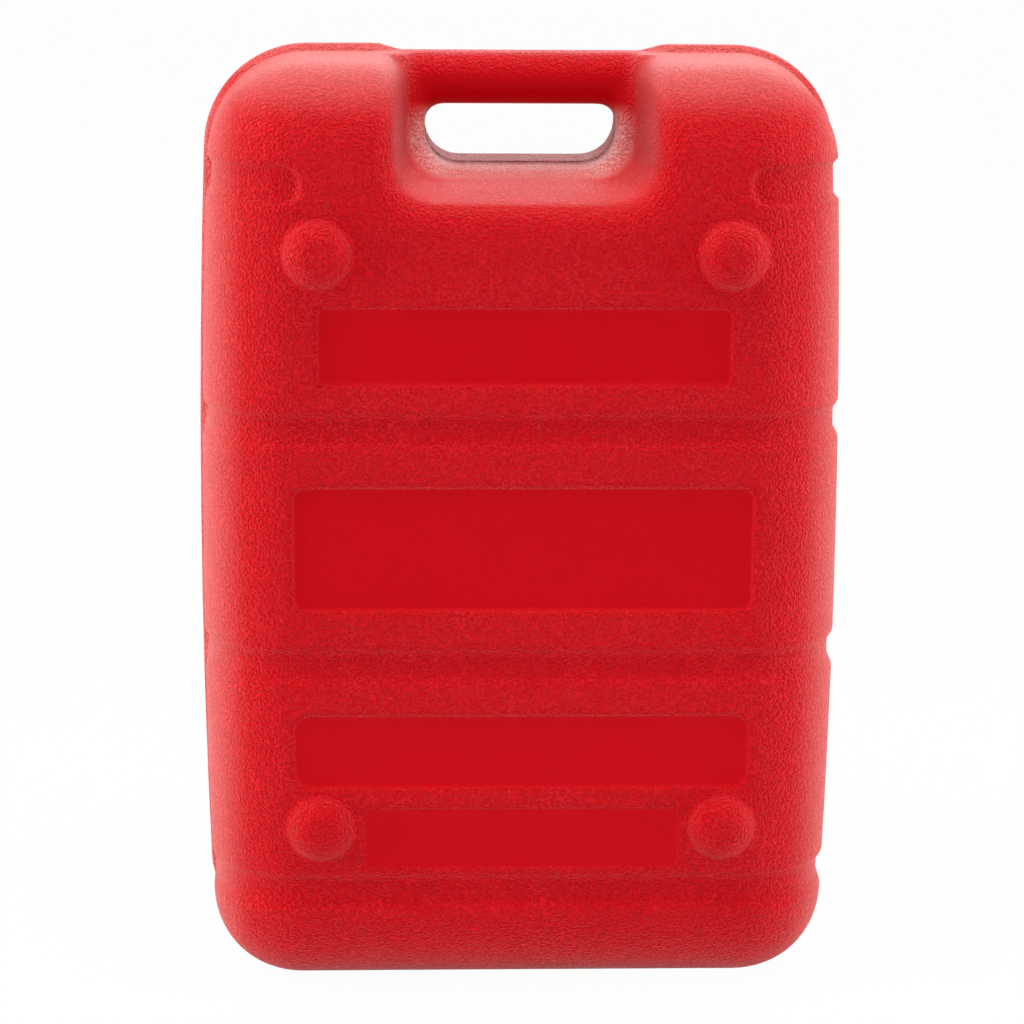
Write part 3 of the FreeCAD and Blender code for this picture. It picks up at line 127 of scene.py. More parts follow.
# ---- Flash on the finger gap's seam ----
FLASH_Y = -0.0005
FLASH_TOP = 0.449
FLASH_RADIUS = 0.0004
FLASH_STEP = 0.0010         # between the points along it
FLASH_WANDER = 0.0014       # how far it strays
FLASH_RUN_OUT = 0.08

# ---- Nose of the rim beside the handle ----
NOSE_START = 0.061          # from the centre plane
NOSE_END = 0.073
NOSE_LIMIT = 0.092
NOSE_LOW = 0.474
RIM_HALF_WIDTH = 0.003

# ---- How the blown skin rounds off ----
SKIN_VOXEL = 0.0012
SKIN_TRIANGLES = 190000
ROUNDING_STEPS = 30
ROUNDING_FACTOR = 0.5
WELD = 1e-6                 # points closer than this are one

# Shares of the full rounding, and where each applies
PANEL_ROUNDING = 0.06
PANEL_DEPTH = 0.004         # below the face
PANEL_MARGIN = 0.008        # round a panel's outline
GROOVE_ROUNDING = 0.22
FOOT_ROUNDING = 0.12
FOOT_BASE_Y = -0.090
FOOT_MARGIN = 0.005
RIM_ROUNDING = 0.30
RIM_BAND = 0.011            # to each side of the rim's middle
RIM_SIDE_X = 0.150
RIM_BOTTOM_Z = 0.014
RIM_TOP_Z = 0.464
WELL_ROUNDING = 0.15
WELL_LOW_Y = 0.055
WELL_HALF_WIDTH = 0.145
WELL_HALF_HEIGHT = 0.075
SEAT_ROUNDING = 0.03        # on the neck and under the head
SEAT_LOW_Y = 0.045
SEAT_RADIUS = 0.052

# A second, wider rounding, along the mouths of the hand recesses
RECESS_STEPS = 200
RECESS_MOUTH = 0.024        # how far it reaches from the mouth's edge
RECESS_WALL_Y = 0.014       # it grows from nothing here, over the next length
RECESS_WALL_FADE = 0.016
RECESS_TOP_Z = 0.470        # and fades towards the top, over the next length
RECESS_TOP_FADE = 0.030
LIP_ROUNDING = 0.3          # its share on the finger gap's underside lip
LIP_DEPTH = 0.012
LIP_WIDTH = 0.008
LIP_TOP_Z = 0.450

# ---- Where the tank's skin is smooth and rubbed, and where light and shade are painted on it ----
# Each pair is where a soft mask starts and where it ends. Those in X are distances from the centre plane.
BAR_END_X = (BAR_HALF_LENGTH, 0.060)
BAR_FOOT_Z = (0.446, 0.456)     # the bar's lower part has no grain
BAR_CREST_Z = (0.468, 0.477)
# Painted sheen: the flanks and the shoulders beside the bar are painted paler and pinker
PAINTED_SHEEN_FLANK_X = (0.138, 0.168)
PAINTED_SHEEN_SHOULDER_Z = (0.452, 0.484)
PAINTED_SHEEN_BESIDE_BAR_X = (BAR_HALF_LENGTH, 0.072)
# Painted light: the upward-facing slopes of the hand recesses are painted a brighter red
RECESS_PAINTED_LIGHT_X = (0.056, 0.070)
RECESS_PAINTED_LIGHT_Y = (0.080, 0.097)      # to either side of the parting plane
RECESS_PAINTED_LIGHT_FOOT_Z = (0.384, 0.414)
RECESS_PAINTED_LIGHT_TOP_Z = (0.424, 0.440)
RUBBED_FROM_GAP = (0.006, 0.018)
RUBBED_RAGGED = 0.008           # how far that edge strays
RUBBED_Y = (0.012, 0.034)       # to either side of the parting plane
RUBBED_TOP_Z = (0.440, 0.458)
RUBBED_CORNER_X = (0.030, 0.045)
# Painted light: the lip's deck half is painted paler, on top of its rubbing
DECK_LIP_Y = (-0.001, 0.003)    # where the lip's underside half gives way to its deck half
PINCH_Y = -0.0020               # middle of the pinched seam in the finger gap
PINCH_BAND = (0.0018, 0.0058)
PINCH_FROM_GAP = (0.0015, 0.0040)

# How strongly each shows
# Painted shade: how much darker the recessed panels' floors are painted
PANEL_SHADE_SHARE = 0.75
# Painted sheen on the flanks and shoulders
PAINTED_SHEEN_SHARE = 0.62
# Painted light on the slopes of the hand recesses
RECESS_PAINTED_LIGHT_SHARE = 0.60
# Painted shade in the grain's creases
CREASE_SHADE_SHARE = 0.28
# Scuffs on the grain's tops, which also serve as painted highlights
SCUFF_AND_HIGHLIGHT_SHARE = 0.35
RUBBED_MIDDLE = 0.62        # of the rubbing, between the lip's two lower corners
# Rubbing and painted light on the lip's deck half
RUBBED_AND_LIT_DECK_SHARE = 0.9
SMOOTH_GRAIN = 0.04         # of the grain, where the mould is smooth

# ---- Grain ----
PEBBLE = 0.0013             # width of one wrinkle in the tank's grain
PEBBLE_HEIGHT = 0.0011
PEBBLE_BEND = 1.6 * PEBBLE  # how far a slower noise bends the wrinkles
CREASE_HEIGHTS = (0.16, 0.42)
SCUFF_HEIGHTS = (0.60, 0.92)
SAG_HEIGHT = 0.0008         # of the slow waviness of the blown wall

# ---- Colours ----
TANK_RED = (0.65, 0.0010, 0.0070, 1.0)
# Deep red: also painted shade in the panels and on the bar's lower part
DEEP_RED = (0.50, 0.0005, 0.0045, 1.0)
# Scuffed grain tops, also a painted highlight
SCUFF_AND_HIGHLIGHT_RED = (0.80, 0.035, 0.045, 1.0)
# Painted shade in the grain's creases
CREASE_SHADE_RED = (0.40, 0.0003, 0.0030, 1.0)
# Painted light on the slopes of the hand recesses
RECESS_PAINTED_LIGHT_RED = (0.92, 0.014, 0.015, 1.0)
# Painted pink sheen on the flanks and shoulders
PAINTED_SHEEN_RED = (0.88, 0.225, 0.205, 1.0)
RUBBED_RED = (0.99, 0.60, 0.56, 1.0)
# Rubbed pale and painted lighter, as painted light, on the lip's deck half
RUBBED_AND_LIT_DECK = (0.99, 0.52, 0.48, 1.0)
SEAM_BROWN = (0.44, 0.085, 0.080, 1.0)
GLOSS_TINT = (1.0, 0.22, 0.24, 1.0)
SHEEN_TINT = (1.0, 0.62, 0.60, 1.0)
NYLON_BLACK = (0.013, 0.013, 0.014, 1.0)
NYLON_WORN = (0.045, 0.044, 0.043, 1.0)
ACETAL_WHITE = (0.78, 0.76, 0.69, 1.0)
ACETAL_AGED = (0.70, 0.67, 0.58, 1.0)
FOAM_GREY = (0.030, 0.030, 0.032, 1.0)
FOAM_PALE = (0.075, 0.073, 0.070, 1.0)
RUBBER_BLACK = (0.010, 0.010, 0.011, 1.0)
RUBBER_BLOOM = (0.040, 0.040, 0.042, 1.0)
BRASS = (0.80, 0.58, 0.27, 1.0)
BRASS_DULL = (0.62, 0.43, 0.19, 1.0)
STEEL = (0.62, 0.62, 0.63, 1.0)
STEEL_DULL = (0.48, 0.48, 0.49, 1.0)
ALUMINIUM = (0.78, 0.79, 0.80, 1.0)
ALUMINIUM_DULL = (0.66, 0.67, 0.68, 1.0)
DIAL_WHITE = (0.86, 0.86, 0.83, 1.0)
DIAL_FIBRE = (0.80, 0.80, 0.76, 1.0)
DIAL_INK = (0.015, 0.015, 0.017, 1.0)
INK_THIN = (0.03, 0.03, 0.032, 1.0)
POINTER_RED = (0.80, 0.055, 0.015, 1.0)
POINTER_DARK = (0.70, 0.035, 0.010, 1.0)
CLEAR = (0.95, 0.97, 0.98, 1.0)
WHITE = (1.0, 1.0, 1.0, 1.0)

ALONG_X = (1.0, 0.0, 0.0)
ALONG_Y = (0.0, 1.0, 0.0)
DRAWN_ALONG_Y = (1.0, 0.02, 1.0)    # scale of a noise that is stretched along Y
NOISE_SPAN = (0.3, 0.7)             # nearly all of a noise lies between these
LYING_BRASS = ("outlet_nipple", "check_poppet", "spring_seat")


# ---- Node trees ----
def add(tree, kind, inputs=None, **settings):
    """Adds a node to a tree, with its settings, and its inputs given as values or as sockets to link."""
    node = tree.nodes.new(kind)
    for name, value in settings.items():
        setattr(node, name, value)
    for name, value in (inputs or {}).items():
        if isinstance(value, bpy.types.NodeSocket):
            tree.links.new(value, node.inputs[name])
        else:
            node.inputs[name].default_value = value
    return node


def math_node(tree, operation, *values):
    return add(tree, "ShaderNodeMath", dict(enumerate(values)), operation=operation).outputs[0]


def product(tree, first, *factors):
    for factor in factors:
        first = math_node(tree, "MULTIPLY", first, factor)
    return first


def vector_math(tree, operation, *values):
    """The outputs of a vector operation: its vector first, and its number under Value."""
    return add(tree, "ShaderNodeVectorMath", dict(enumerate(values)), operation=operation).outputs


def scaled(tree, vector, scale):
    return add(tree, "ShaderNodeVectorMath", {0: vector, "Scale": scale}, operation="SCALE").outputs[0]


def colour_mix(tree, factor, low, high):
    """A colour between two others, by a factor from 0 to 1."""
    return add(tree, "ShaderNodeMix", {0: factor, 6: low, 7: high}, data_type="RGBA").outputs[2]


def value_range(tree, value, low, high, out_low=0.0, out_high=1.0):
    """Maps low..high smoothly onto out_low..out_high."""
    inputs = {"Value": value, "From Min": low, "From Max": high, "To Min": out_low, "To Max": out_high}
    return add(tree, "ShaderNodeMapRange", inputs, interpolation_type="SMOOTHSTEP").outputs[0]


def varied(tree, pattern, low, high):
    """A value that follows a noise from low to high."""
    return value_range(tree, pattern, *NOISE_SPAN, low, high)


def rising(tree, value, limits):
    """0 up to the first limit and 1 from the second."""
    return value_range(tree, value, *limits)


def falling(tree, value, limits):
    """1 up to the first limit and 0 from the second."""
    return value_range(tree, value, *limits, 1.0, 0.0)


def noise(tree, coordinates, scale, detail=2.0, roughness=0.5):
    """Smooth noise from 0 to 1. Its scale is in waves to a metre."""
    inputs = {"Vector": coordinates, "Scale": scale, "Detail": detail, "Roughness": roughness}
    return add(tree, "ShaderNodeTexNoise", inputs).outputs["Fac"]


def wander(tree, place, scale, detail, reach):
    """A shift that varies smoothly from place to place, by up to half of reach each way."""
    inputs = {"Vector": place, "Scale": scale, "Detail": detail}
    drift = add(tree, "ShaderNodeTexNoise", inputs).outputs["Color"]
    return scaled(tree, vector_math(tree, "SUBTRACT", drift, (0.5, 0.5, 0.5))[0], reach)


def bump(tree, height, distance, strength=1.0, normal=None):
    """A surface raised by a height from 0 to 1 times a distance in metres."""
    node = add(tree, "ShaderNodeBump", {"Height": height, "Distance": distance, "Strength": strength})
    if normal is not None:
        tree.links.new(normal, node.inputs["Normal"])
    return node.outputs["Normal"]


def start_finish(name, **surface):
    """Starts a material, with values on the shader's own sockets. Returns it, its tree, shader and place."""
    material = bpy.data.materials.new(name)
    material.use_nodes = True
    tree = material.node_tree
    shader = tree.nodes["Principled BSDF"]
    for socket, value in surface.items():
        shader.inputs[socket.replace("_", " ")].default_value = value
    place = add(tree, "ShaderNodeTexCoord").outputs["Object"]
    return material, tree, shader, place


def connect(tree, shader, **sockets):
    """Links outputs to the shader's sockets of those names."""
    for socket, value in sockets.items():
        tree.links.new(value, shader.inputs[socket.replace("_", " ")])


def rounded_box_group():
    """A node group: the distance outside a box with rounded corners, and a soft mask that is 1 inside it."""
    group = bpy.data.node_groups.new("rounded_box", "ShaderNodeTree")
    for name, kind in (
        ("Place", "NodeSocketVector"),
        ("Centre", "NodeSocketVector"),
        ("Half Size", "NodeSocketVector"),
        ("Corner", "NodeSocketFloat"),
        ("Edge", "NodeSocketFloat"),
    ):
        group.interface.new_socket(name, in_out="INPUT", socket_type=kind)
    for name in ("Distance", "Mask"):
        group.interface.new_socket(name, in_out="OUTPUT", socket_type="NodeSocketFloat")
    given = add(group, "NodeGroupInput").outputs

    from_centre = vector_math(group, "SUBTRACT", given["Place"], given["Centre"])[0]
    folded = vector_math(group, "ABSOLUTE", from_centre)[0]
    past_side = vector_math(group, "SUBTRACT", folded, given["Half Size"])[0]
    corner = add(group, "ShaderNodeCombineXYZ", {axis: given["Corner"] for axis in "XYZ"}).outputs[0]
    from_corner = vector_math(group, "ADD", past_side, corner)[0]
    past_corner = vector_math(group, "MAXIMUM", from_corner, (0.0, 0.0, 0.0))[0]
    radius = vector_math(group, "LENGTH", past_corner)["Value"]
    distance = math_node(group, "SUBTRACT", radius, given["Corner"])
    mask = value_range(group, distance, 0.0, given["Edge"], 1.0, 0.0)
    add(group, "NodeGroupOutput", {"Distance": distance, "Mask": mask})
    return group


ROUNDED_BOX = rounded_box_group()


def rounded_box(tree, place, centre, half_size, corner):
    inputs = {"Place": place, "Centre": centre, "Half Size": half_size, "Corner": corner, "Edge": PANEL_EDGE}
    return add(tree, "ShaderNodeGroup", inputs, node_tree=ROUNDED_BOX).outputs


# ---- Finish of the tank ----
def pebble_height(tree, place):
    """The leathery grain of the mould: short wrinkles with flat tops, bent by a slower noise."""
    shift = wander(tree, place, 0.6 / PEBBLE, 1.0, PEBBLE_BEND)
    moved = vector_math(tree, "ADD", place, shift)[0]
    wrinkles = value_range(tree, noise(tree, moved, 1.0 / PEBBLE, detail=1.0, roughness=0.4), 0.34, 0.64)
    fine = noise(tree, place, 2.6 / PEBBLE, detail=1.5, roughness=0.5)
    return math_node(tree, "MULTIPLY_ADD", fine, 0.30, math_node(tree, "MULTIPLY", wrinkles, 0.70))


def panels_mask(tree, place):
    """1 on the smooth floors of the recessed panels, 0 on the grained body."""
    masks = []
    for side, panels in ((-1.0, UNDERSIDE_PANELS), (1.0, DECK_PANELS)):
        for half_width, low, high, corner in panels:
            centre = (0.0, side * FACE_Y, (low + high) / 2)
            half_size = (half_width, PANEL_REACH + corner, (high - low) / 2)
            masks.append(rounded_box(tree, place, centre, half_size, corner)["Mask"])
    total = masks[0]
    for mask in masks[1:]:
        total = math_node(tree, "MAXIMUM", total, mask)
    return total


def bar_mask(tree, across, z):
    """1 on the part of the bar that the mould leaves smooth."""
    return product(
        tree,
        falling(tree, across, BAR_END_X),
        rising(tree, z, BAR_FOOT_Z),
        falling(tree, z, BAR_CREST_Z),
    )


def gap_distance(tree, across, y, z):
    """How far a point lies outside the finger gap's lower outline, seen along Y."""
    rise = math_node(tree, "MULTIPLY_ADD", y, GAP_RISE / (2 * GAP_WALL_HALF_DEPTH), GAP_RISE / 2)
    level = math_node(tree, "SUBTRACT", z, rise)
    place = add(tree, "ShaderNodeCombineXYZ", {"X": across, "Z": level}).outputs[0]
    centre = (0.0, 0.0, GAP_LOW + GAP_OPEN / 2)
    half_size = (GAP_HALF_WIDTH, 1.0, GAP_OPEN / 2)
    return rounded_box(tree, place, centre, half_size, GAP_CORNER)["Distance"]


def red_with_painted_light_and_shade(tree, place, across, y, z, panels, on_bar):
    """The red, varying a little at random, with painted shade deeper in the panels and on the bar's lower
    part, a painted pink sheen on flanks and shoulders, and painted light on the slopes of the hand recesses.
    """
    drift = noise(tree, place, 9.0, detail=3.0)
    body = colour_mix(tree, value_range(tree, drift, 0.35, 0.65, 0.0, 0.2), TANK_RED, DEEP_RED)
    # Painted shade: the recessed panels' floors are painted darker
    panels_shaded = colour_mix(tree, product(tree, panels, PANEL_SHADE_SHARE), body, DEEP_RED)
    # Painted shade: the bar's lower part is painted deep red
    bar_shaded = colour_mix(tree, on_bar, panels_shaded, DEEP_RED)
    # Painted sheen: flanks and shoulders are painted paler and pinker
    flanks = rising(tree, across, PAINTED_SHEEN_FLANK_X)
    shoulders = product(tree, rising(tree, z, PAINTED_SHEEN_SHOULDER_Z), rising(tree, across, PAINTED_SHEEN_BESIDE_BAR_X))
    painted_sheen = product(tree, math_node(tree, "MAXIMUM", flanks, shoulders), PAINTED_SHEEN_SHARE)
    with_painted_sheen = colour_mix(tree, painted_sheen, bar_shaded, PAINTED_SHEEN_RED)
    # Painted light: the slopes of the hand recesses are painted a brighter red
    recess_painted_light = product(
        tree,
        falling(tree, across, RECESS_PAINTED_LIGHT_X),
        falling(tree, z, RECESS_PAINTED_LIGHT_TOP_Z),
        rising(tree, z, RECESS_PAINTED_LIGHT_FOOT_Z),
        falling(tree, math_node(tree, "ABSOLUTE", y), RECESS_PAINTED_LIGHT_Y),
        RECESS_PAINTED_LIGHT_SHARE,
    )
    return colour_mix(tree, recess_painted_light, with_painted_sheen, RECESS_PAINTED_LIGHT_RED)


def shaded_and_scuffed_grain(tree, place, height, grained, colour):
    """Paints shade into the creases of the grain, and scuffs its tops in patches, which also paints
    highlights on them.
    """
    # Painted shade in the creases
    creases = product(tree, falling(tree, height, CREASE_HEIGHTS), grained, CREASE_SHADE_SHARE)
    creased = colour_mix(tree, creases, colour, CREASE_SHADE_RED)
    # Scuffs on the tops, also painted highlights
    patches = value_range(tree, noise(tree, place, 31.0, detail=4.0, roughness=0.65), 0.38, 0.72, 0.15, 1.0)
    tops = product(tree, rising(tree, height, SCUFF_HEIGHTS), patches, grained, SCUFF_AND_HIGHLIGHT_SHARE)
    return colour_mix(tree, tops, creased, SCUFF_AND_HIGHLIGHT_RED)


def rubbed_and_lit_lip(tree, place, across, y, off_gap, below_bar, colour):
    """Hands rub the gap's lip pale, grain by grain, and least in the middle of its underside half. Its deck
    half is also painted paler, as painted light.
    """
    tatter = noise(tree, place, 140.0, detail=4.0, roughness=0.7)
    ragged = math_node(tree, "MULTIPLY_ADD", tatter, RUBBED_RAGGED, off_gap)
    speckle = value_range(tree, noise(tree, place, 900.0, detail=3.0, roughness=0.7), 0.36, 0.60, 0.45, 0.95)
    at_corners = value_range(tree, across, *RUBBED_CORNER_X, RUBBED_MIDDLE, 1.0)
    # Painted light: the deck half is painted paler, on top of its rubbing
    deck_side = value_range(tree, y, *DECK_LIP_Y, 0.0, RUBBED_AND_LIT_DECK_SHARE)
    rubbed = product(
        tree,
        falling(tree, ragged, RUBBED_FROM_GAP),
        falling(tree, math_node(tree, "ABSOLUTE", y), RUBBED_Y),
        below_bar,
        speckle,
        math_node(tree, "MAXIMUM", at_corners, deck_side),
    )
    rubbed_and_lit_colour = colour_mix(tree, deck_side, RUBBED_RED, RUBBED_AND_LIT_DECK)
    return colour_mix(tree, rubbed, colour, rubbed_and_lit_colour)


def pinched_seam(tree, place, y, off_gap, below_bar, colour):
    """The pinched seam along the gap is darker, in specks."""
    from_seam = math_node(tree, "ABSOLUTE", math_node(tree, "SUBTRACT", y, PINCH_Y))
    on_seam = falling(tree, from_seam, PINCH_BAND)
    at_gap = falling(tree, off_gap, PINCH_FROM_GAP)
    specks = value_range(tree, noise(tree, place, 1000.0, detail=3.0, roughness=0.7), 0.38, 0.58, 0.30, 0.90)
    return colour_mix(tree, product(tree, on_seam, at_gap, below_bar, specks), colour, SEAM_BROWN)


def tank_plastic():
    """Red blow-moulded polyethylene: grained, smooth in the panels, rubbed pale round the finger gap."""
    material, tree, shader, place = start_finish(
        "red_polyethylene",
        IOR=1.5,
        Specular_IOR_Level=0.24,
        Specular_Tint=GLOSS_TINT,
        Sheen_Weight=0.20,
        Sheen_Roughness=0.32,
        Sheen_Tint=SHEEN_TINT,
    )
    x, y, z = add(tree, "ShaderNodeSeparateXYZ", {0: place}).outputs
    across = math_node(tree, "ABSOLUTE", x)
    height = pebble_height(tree, place)
    panels = panels_mask(tree, place)
    on_bar = bar_mask(tree, across, z)
    smooth = math_node(tree, "MAXIMUM", panels, on_bar)
    grained = math_node(tree, "SUBTRACT", 1.0, smooth)
    off_gap = gap_distance(tree, across, y, z)
    below_bar = falling(tree, z, RUBBED_TOP_Z)

    # The colour carries painted shade in the panels, on the bar and in the grain's creases, and painted light
    # on flanks, shoulders, recess slopes, grain tops and the lip's deck half
    colour = red_with_painted_light_and_shade(tree, place, across, y, z, panels, on_bar)
    colour = shaded_and_scuffed_grain(tree, place, height, grained, colour)
    colour = rubbed_and_lit_lip(tree, place, across, y, off_gap, below_bar, colour)
    colour = pinched_seam(tree, place, y, off_gap, below_bar, colour)

    # The grain is almost gone where the mould is smooth, and the wall waves a little everywhere
    grain_roughness = value_range(tree, height, 0.3, 0.8, 0.52, 0.42)
    roughness = math_node(tree, "MULTIPLY_ADD", smooth, -0.06, grain_roughness)
    depth = math_node(tree, "MULTIPLY_ADD", smooth, SMOOTH_GRAIN - 1.0, 1.0)
    grain = bump(tree, product(tree, height, depth), PEBBLE_HEIGHT)
    sag = bump(tree, noise(tree, place, 22.0, detail=1.0), SAG_HEIGHT, 0.6, grain)
    connect(tree, shader, Base_Color=colour, Roughness=roughness, Normal=sag)
    return material


# ---- Finish of the fittings ----
def black_nylon():
    """Satin moulded nylon: a fine spark-eroded skin with faint handling marks."""
    material, tree, shader, place = start_finish("black_nylon", IOR=1.53, Specular_IOR_Level=0.5)
    marks = noise(tree, place, 70.0, detail=6.0, roughness=0.7)
    colour = colour_mix(tree, value_range(tree, marks, 0.52, 0.78, 0.0, 0.7), NYLON_BLACK, NYLON_WORN)
    roughness = varied(tree, marks, 0.36, 0.52)
    skin = bump(tree, noise(tree, place, 2600.0, detail=2.0), 0.00006, 0.8)
    connect(tree, shader, Base_Color=colour, Roughness=roughness, Normal=skin)
    return material


def acetal():
    """Natural acetal: off-white, a little waxy."""
    material, tree, shader, place = start_finish(
        "natural_acetal", IOR=1.48, Subsurface_Weight=0.15, Subsurface_Scale=0.002
    )
    cloud = noise(tree, place, 45.0, detail=3.0)
    colour = colour_mix(tree, varied(tree, cloud, 0.0, 1.0), ACETAL_WHITE, ACETAL_AGED)
    connect(tree, shader, Base_Color=colour, Roughness=varied(tree, cloud, 0.30, 0.42))
    return material


def float_foam():
    """Closed-cell nitrile foam with a moulded skin."""
    material, tree, shader, place = start_finish("float_foam", IOR=1.45)
    cells = add(tree, "ShaderNodeTexVoronoi", {"Vector": place, "Scale": 1900.0}).outputs["Distance"]
    colour = colour_mix(tree, cells, FOAM_GREY, FOAM_PALE)
    roughness = value_range(tree, cells, 0.0, 0.8, 0.75, 0.6)
    connect(tree, shader, Base_Color=colour, Roughness=roughness, Normal=bump(tree, cells, 0.00012))
    return material


def nitrile_rubber():
    """Matt black seal rubber with a dusting of bloom."""
    material, tree, shader, place = start_finish("nitrile_rubber", IOR=1.52)
    bloom = noise(tree, place, 160.0, detail=5.0, roughness=0.65)
    colour = colour_mix(tree, value_range(tree, bloom, 0.45, 0.75), RUBBER_BLACK, RUBBER_BLOOM)
    roughness = varied(tree, bloom, 0.68, 0.85)
    skin = bump(tree, noise(tree, place, 1800.0), 0.00005)
    connect(tree, shader, Base_Color=colour, Roughness=roughness, Normal=skin)
    return material


def turned_metal(name, centre, axis, clean, dull, low_roughness, high_roughness):
    """Metal from the lathe: fine tool rings round an axis through centre, and a patchy tarnish."""
    material, tree, shader, place = start_finish(name, Metallic=1.0)
    from_centre = vector_math(tree, "SUBTRACT", place, tuple(centre))[0]
    along = vector_math(tree, "DOT_PRODUCT", from_centre, axis)["Value"]
    out = vector_math(tree, "SUBTRACT", from_centre, scaled(tree, axis, along))[0]
    feed = math_node(tree, "ADD", vector_math(tree, "LENGTH", out)["Value"], along)
    rings = add(
        tree, "ShaderNodeTexNoise", {"W": feed, "Scale": 5200.0, "Detail": 1.0}, noise_dimensions="1D"
    ).outputs["Fac"]
    tarnish = noise(tree, place, 210.0, detail=5.0, roughness=0.65)
    colour = colour_mix(tree, value_range(tree, tarnish, 0.42, 0.72), clean, dull)
    roughness = value_range(tree, tarnish, 0.3, 0.75, low_roughness, high_roughness)
    connect(tree, shader, Base_Color=colour, Roughness=roughness, Normal=bump(tree, rings, 0.000025, 0.7))
    return material


def drawn_metal(name, axis_stretch, clean, dull, low_roughness, high_roughness):
    """Drawn or rolled metal: fine lines that run along the piece."""
    material, tree, shader, place = start_finish(name, Metallic=1.0)
    stretched = add(tree, "ShaderNodeMapping", {"Vector": place, "Scale": axis_stretch}).outputs[0]
    lines = noise(tree, stretched, 3000.0, detail=2.0)
    cloud = noise(tree, place, 120.0, detail=4.0)
    colour = colour_mix(tree, value_range(tree, cloud, 0.4, 0.7), clean, dull)
    roughness = varied(tree, lines, low_roughness, high_roughness)
    connect(tree, shader, Base_Color=colour, Roughness=roughness, Normal=bump(tree, lines, 0.00002, 0.6))
    return material


def dial_print(centre):
    """A printed dial: off-white, with a thin black ring round its edge."""
    material, tree, shader, place = start_finish("dial_print", Roughness=0.45, IOR=1.5)
    from_centre = vector_math(tree, "SUBTRACT", place, tuple(centre))[0]
    x, _, z = add(tree, "ShaderNodeSeparateXYZ", {0: from_centre}).outputs
    radius = math_node(tree, "SQRT", math_node(tree, "MULTIPLY_ADD", x, x, math_node(tree, "MULTIPLY", z, z)))
    fibre = noise(tree, place, 900.0, detail=3.0)
    paper = colour_mix(tree, fibre, DIAL_WHITE, DIAL_FIBRE)
    border = product(
        tree, falling(tree, radius, DIAL_BORDER_OUTSIDE), rising(tree, radius, DIAL_BORDER_INSIDE)
    )
    connect(tree, shader, Base_Color=colour_mix(tree, border, paper, DIAL_INK))
    return material


def dial_ink():
    """Screen ink: a little raised and satin."""
    material, tree, shader, place = start_finish("dial_ink", IOR=1.5)
    body = noise(tree, place, 1500.0, detail=2.0)
    roughness = varied(tree, body, 0.35, 0.5)
    connect(tree, shader, Base_Color=colour_mix(tree, body, DIAL_INK, INK_THIN), Roughness=roughness)
    return material


def pointer_paint():
    """Red paint with a little orange peel."""
    material, tree, shader, place = start_finish("pointer_paint", IOR=1.5)
    peel = noise(tree, place, 700.0, detail=2.0)
    colour = colour_mix(tree, peel, POINTER_RED, POINTER_DARK)
    roughness = varied(tree, peel, 0.3, 0.4)
    connect(tree, shader, Base_Color=colour, Roughness=roughness, Normal=bump(tree, peel, 0.00003))
    return material


def clear_lens():
    """Clear polished lens with the faint haze of wiping."""
    material, tree, shader, place = start_finish(
        "clear_polycarbonate", Base_Color=CLEAR, IOR=1.58, Transmission_Weight=1.0
    )
    haze = noise(tree, place, 240.0, detail=6.0, roughness=0.75)
    connect(tree, shader, Roughness=value_range(tree, haze, 0.45, 0.8, 0.02, 0.12))
    return material


def middle_of(node):
    """The middle of a carried-over node's box."""
    low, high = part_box(node)
    return (low + high) / 2


RED = tank_plastic()
NYLON = black_nylon()
INK = dial_ink()


def finish_nodes():
    """Gives every carried-over node its finish."""
    aluminium = drawn_metal("drawn_aluminium", DRAWN_ALONG_Y, ALUMINIUM, ALUMINIUM_DULL, 0.28, 0.42)
    finishes = {
        "red_plastic": RED,
        "black_plastic": NYLON,
        "white_plastic": acetal(),
        "float_plastic": float_foam(),
        "seal_rubber": nitrile_rubber(),
        "aluminium_tube": aluminium,
        "dial": dial_print(middle_of("dial_plate")),
        "pointer": pointer_paint(),
        "clear_lens": clear_lens(),
    }
    for name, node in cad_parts.items():
        slot = node.material_slots[0]
        kind = slot.material.name
        middle = middle_of(name)
        if kind == "brass":
            axis = ALONG_X if name in LYING_BRASS else ALONG_Y
            slot.material = turned_metal(f"{name}_brass", middle, axis, BRASS, BRASS_DULL, 0.20, 0.38)
        elif kind == "steel":
            slot.material = turned_metal(f"{name}_steel", middle, ALONG_Y, STEEL, STEEL_DULL, 0.22, 0.36)
        else:
            slot.material = finishes[kind]


# ---- Pieces ----
def new_piece(name, mesh, finish, body):
    """Puts a finished mesh in the scene, riding on a body. Without a finish it keeps the one it has."""
    piece = bpy.data.objects.new(name, mesh)
    bpy.context.scene.collection.objects.link(piece)
    if finish is not None:
        mesh.materials.clear()
        mesh.materials.append(finish)
    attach(piece, body)
    return piece


def work_object(name, data):
    """An object to build a mesh with, which is removed afterwards."""
    work = bpy.data.objects.new(f"{name}_work", data)
    bpy.context.scene.collection.objects.link(work)
    return work


def evaluated_mesh(piece):
    """The piece's mesh with its modifiers applied."""
    graph = bpy.context.evaluated_depsgraph_get()
    result = piece.evaluated_get(graph)
    return bpy.data.meshes.new_from_object(result, preserve_all_data_layers=True, depsgraph=graph)


def weld(mesh, turn_outwards=True):
    """Joins the points that coincide and, unless told not to, turns the faces outwards."""
    whole = bmesh.new()
    whole.from_mesh(mesh)
    bmesh.ops.remove_doubles(whole, verts=whole.verts, dist=WELD)
    if turn_outwards:
        bmesh.ops.recalc_face_normals(whole, faces=whole.faces)
    whole.to_mesh(mesh)
    whole.free()


def points_of(mesh):
    """The mesh's points, in rows of X, Y and Z."""
    points = np.empty(len(mesh.vertices) * 3)
    mesh.vertices.foreach_get("co", points)
    return points.reshape(-1, 3)


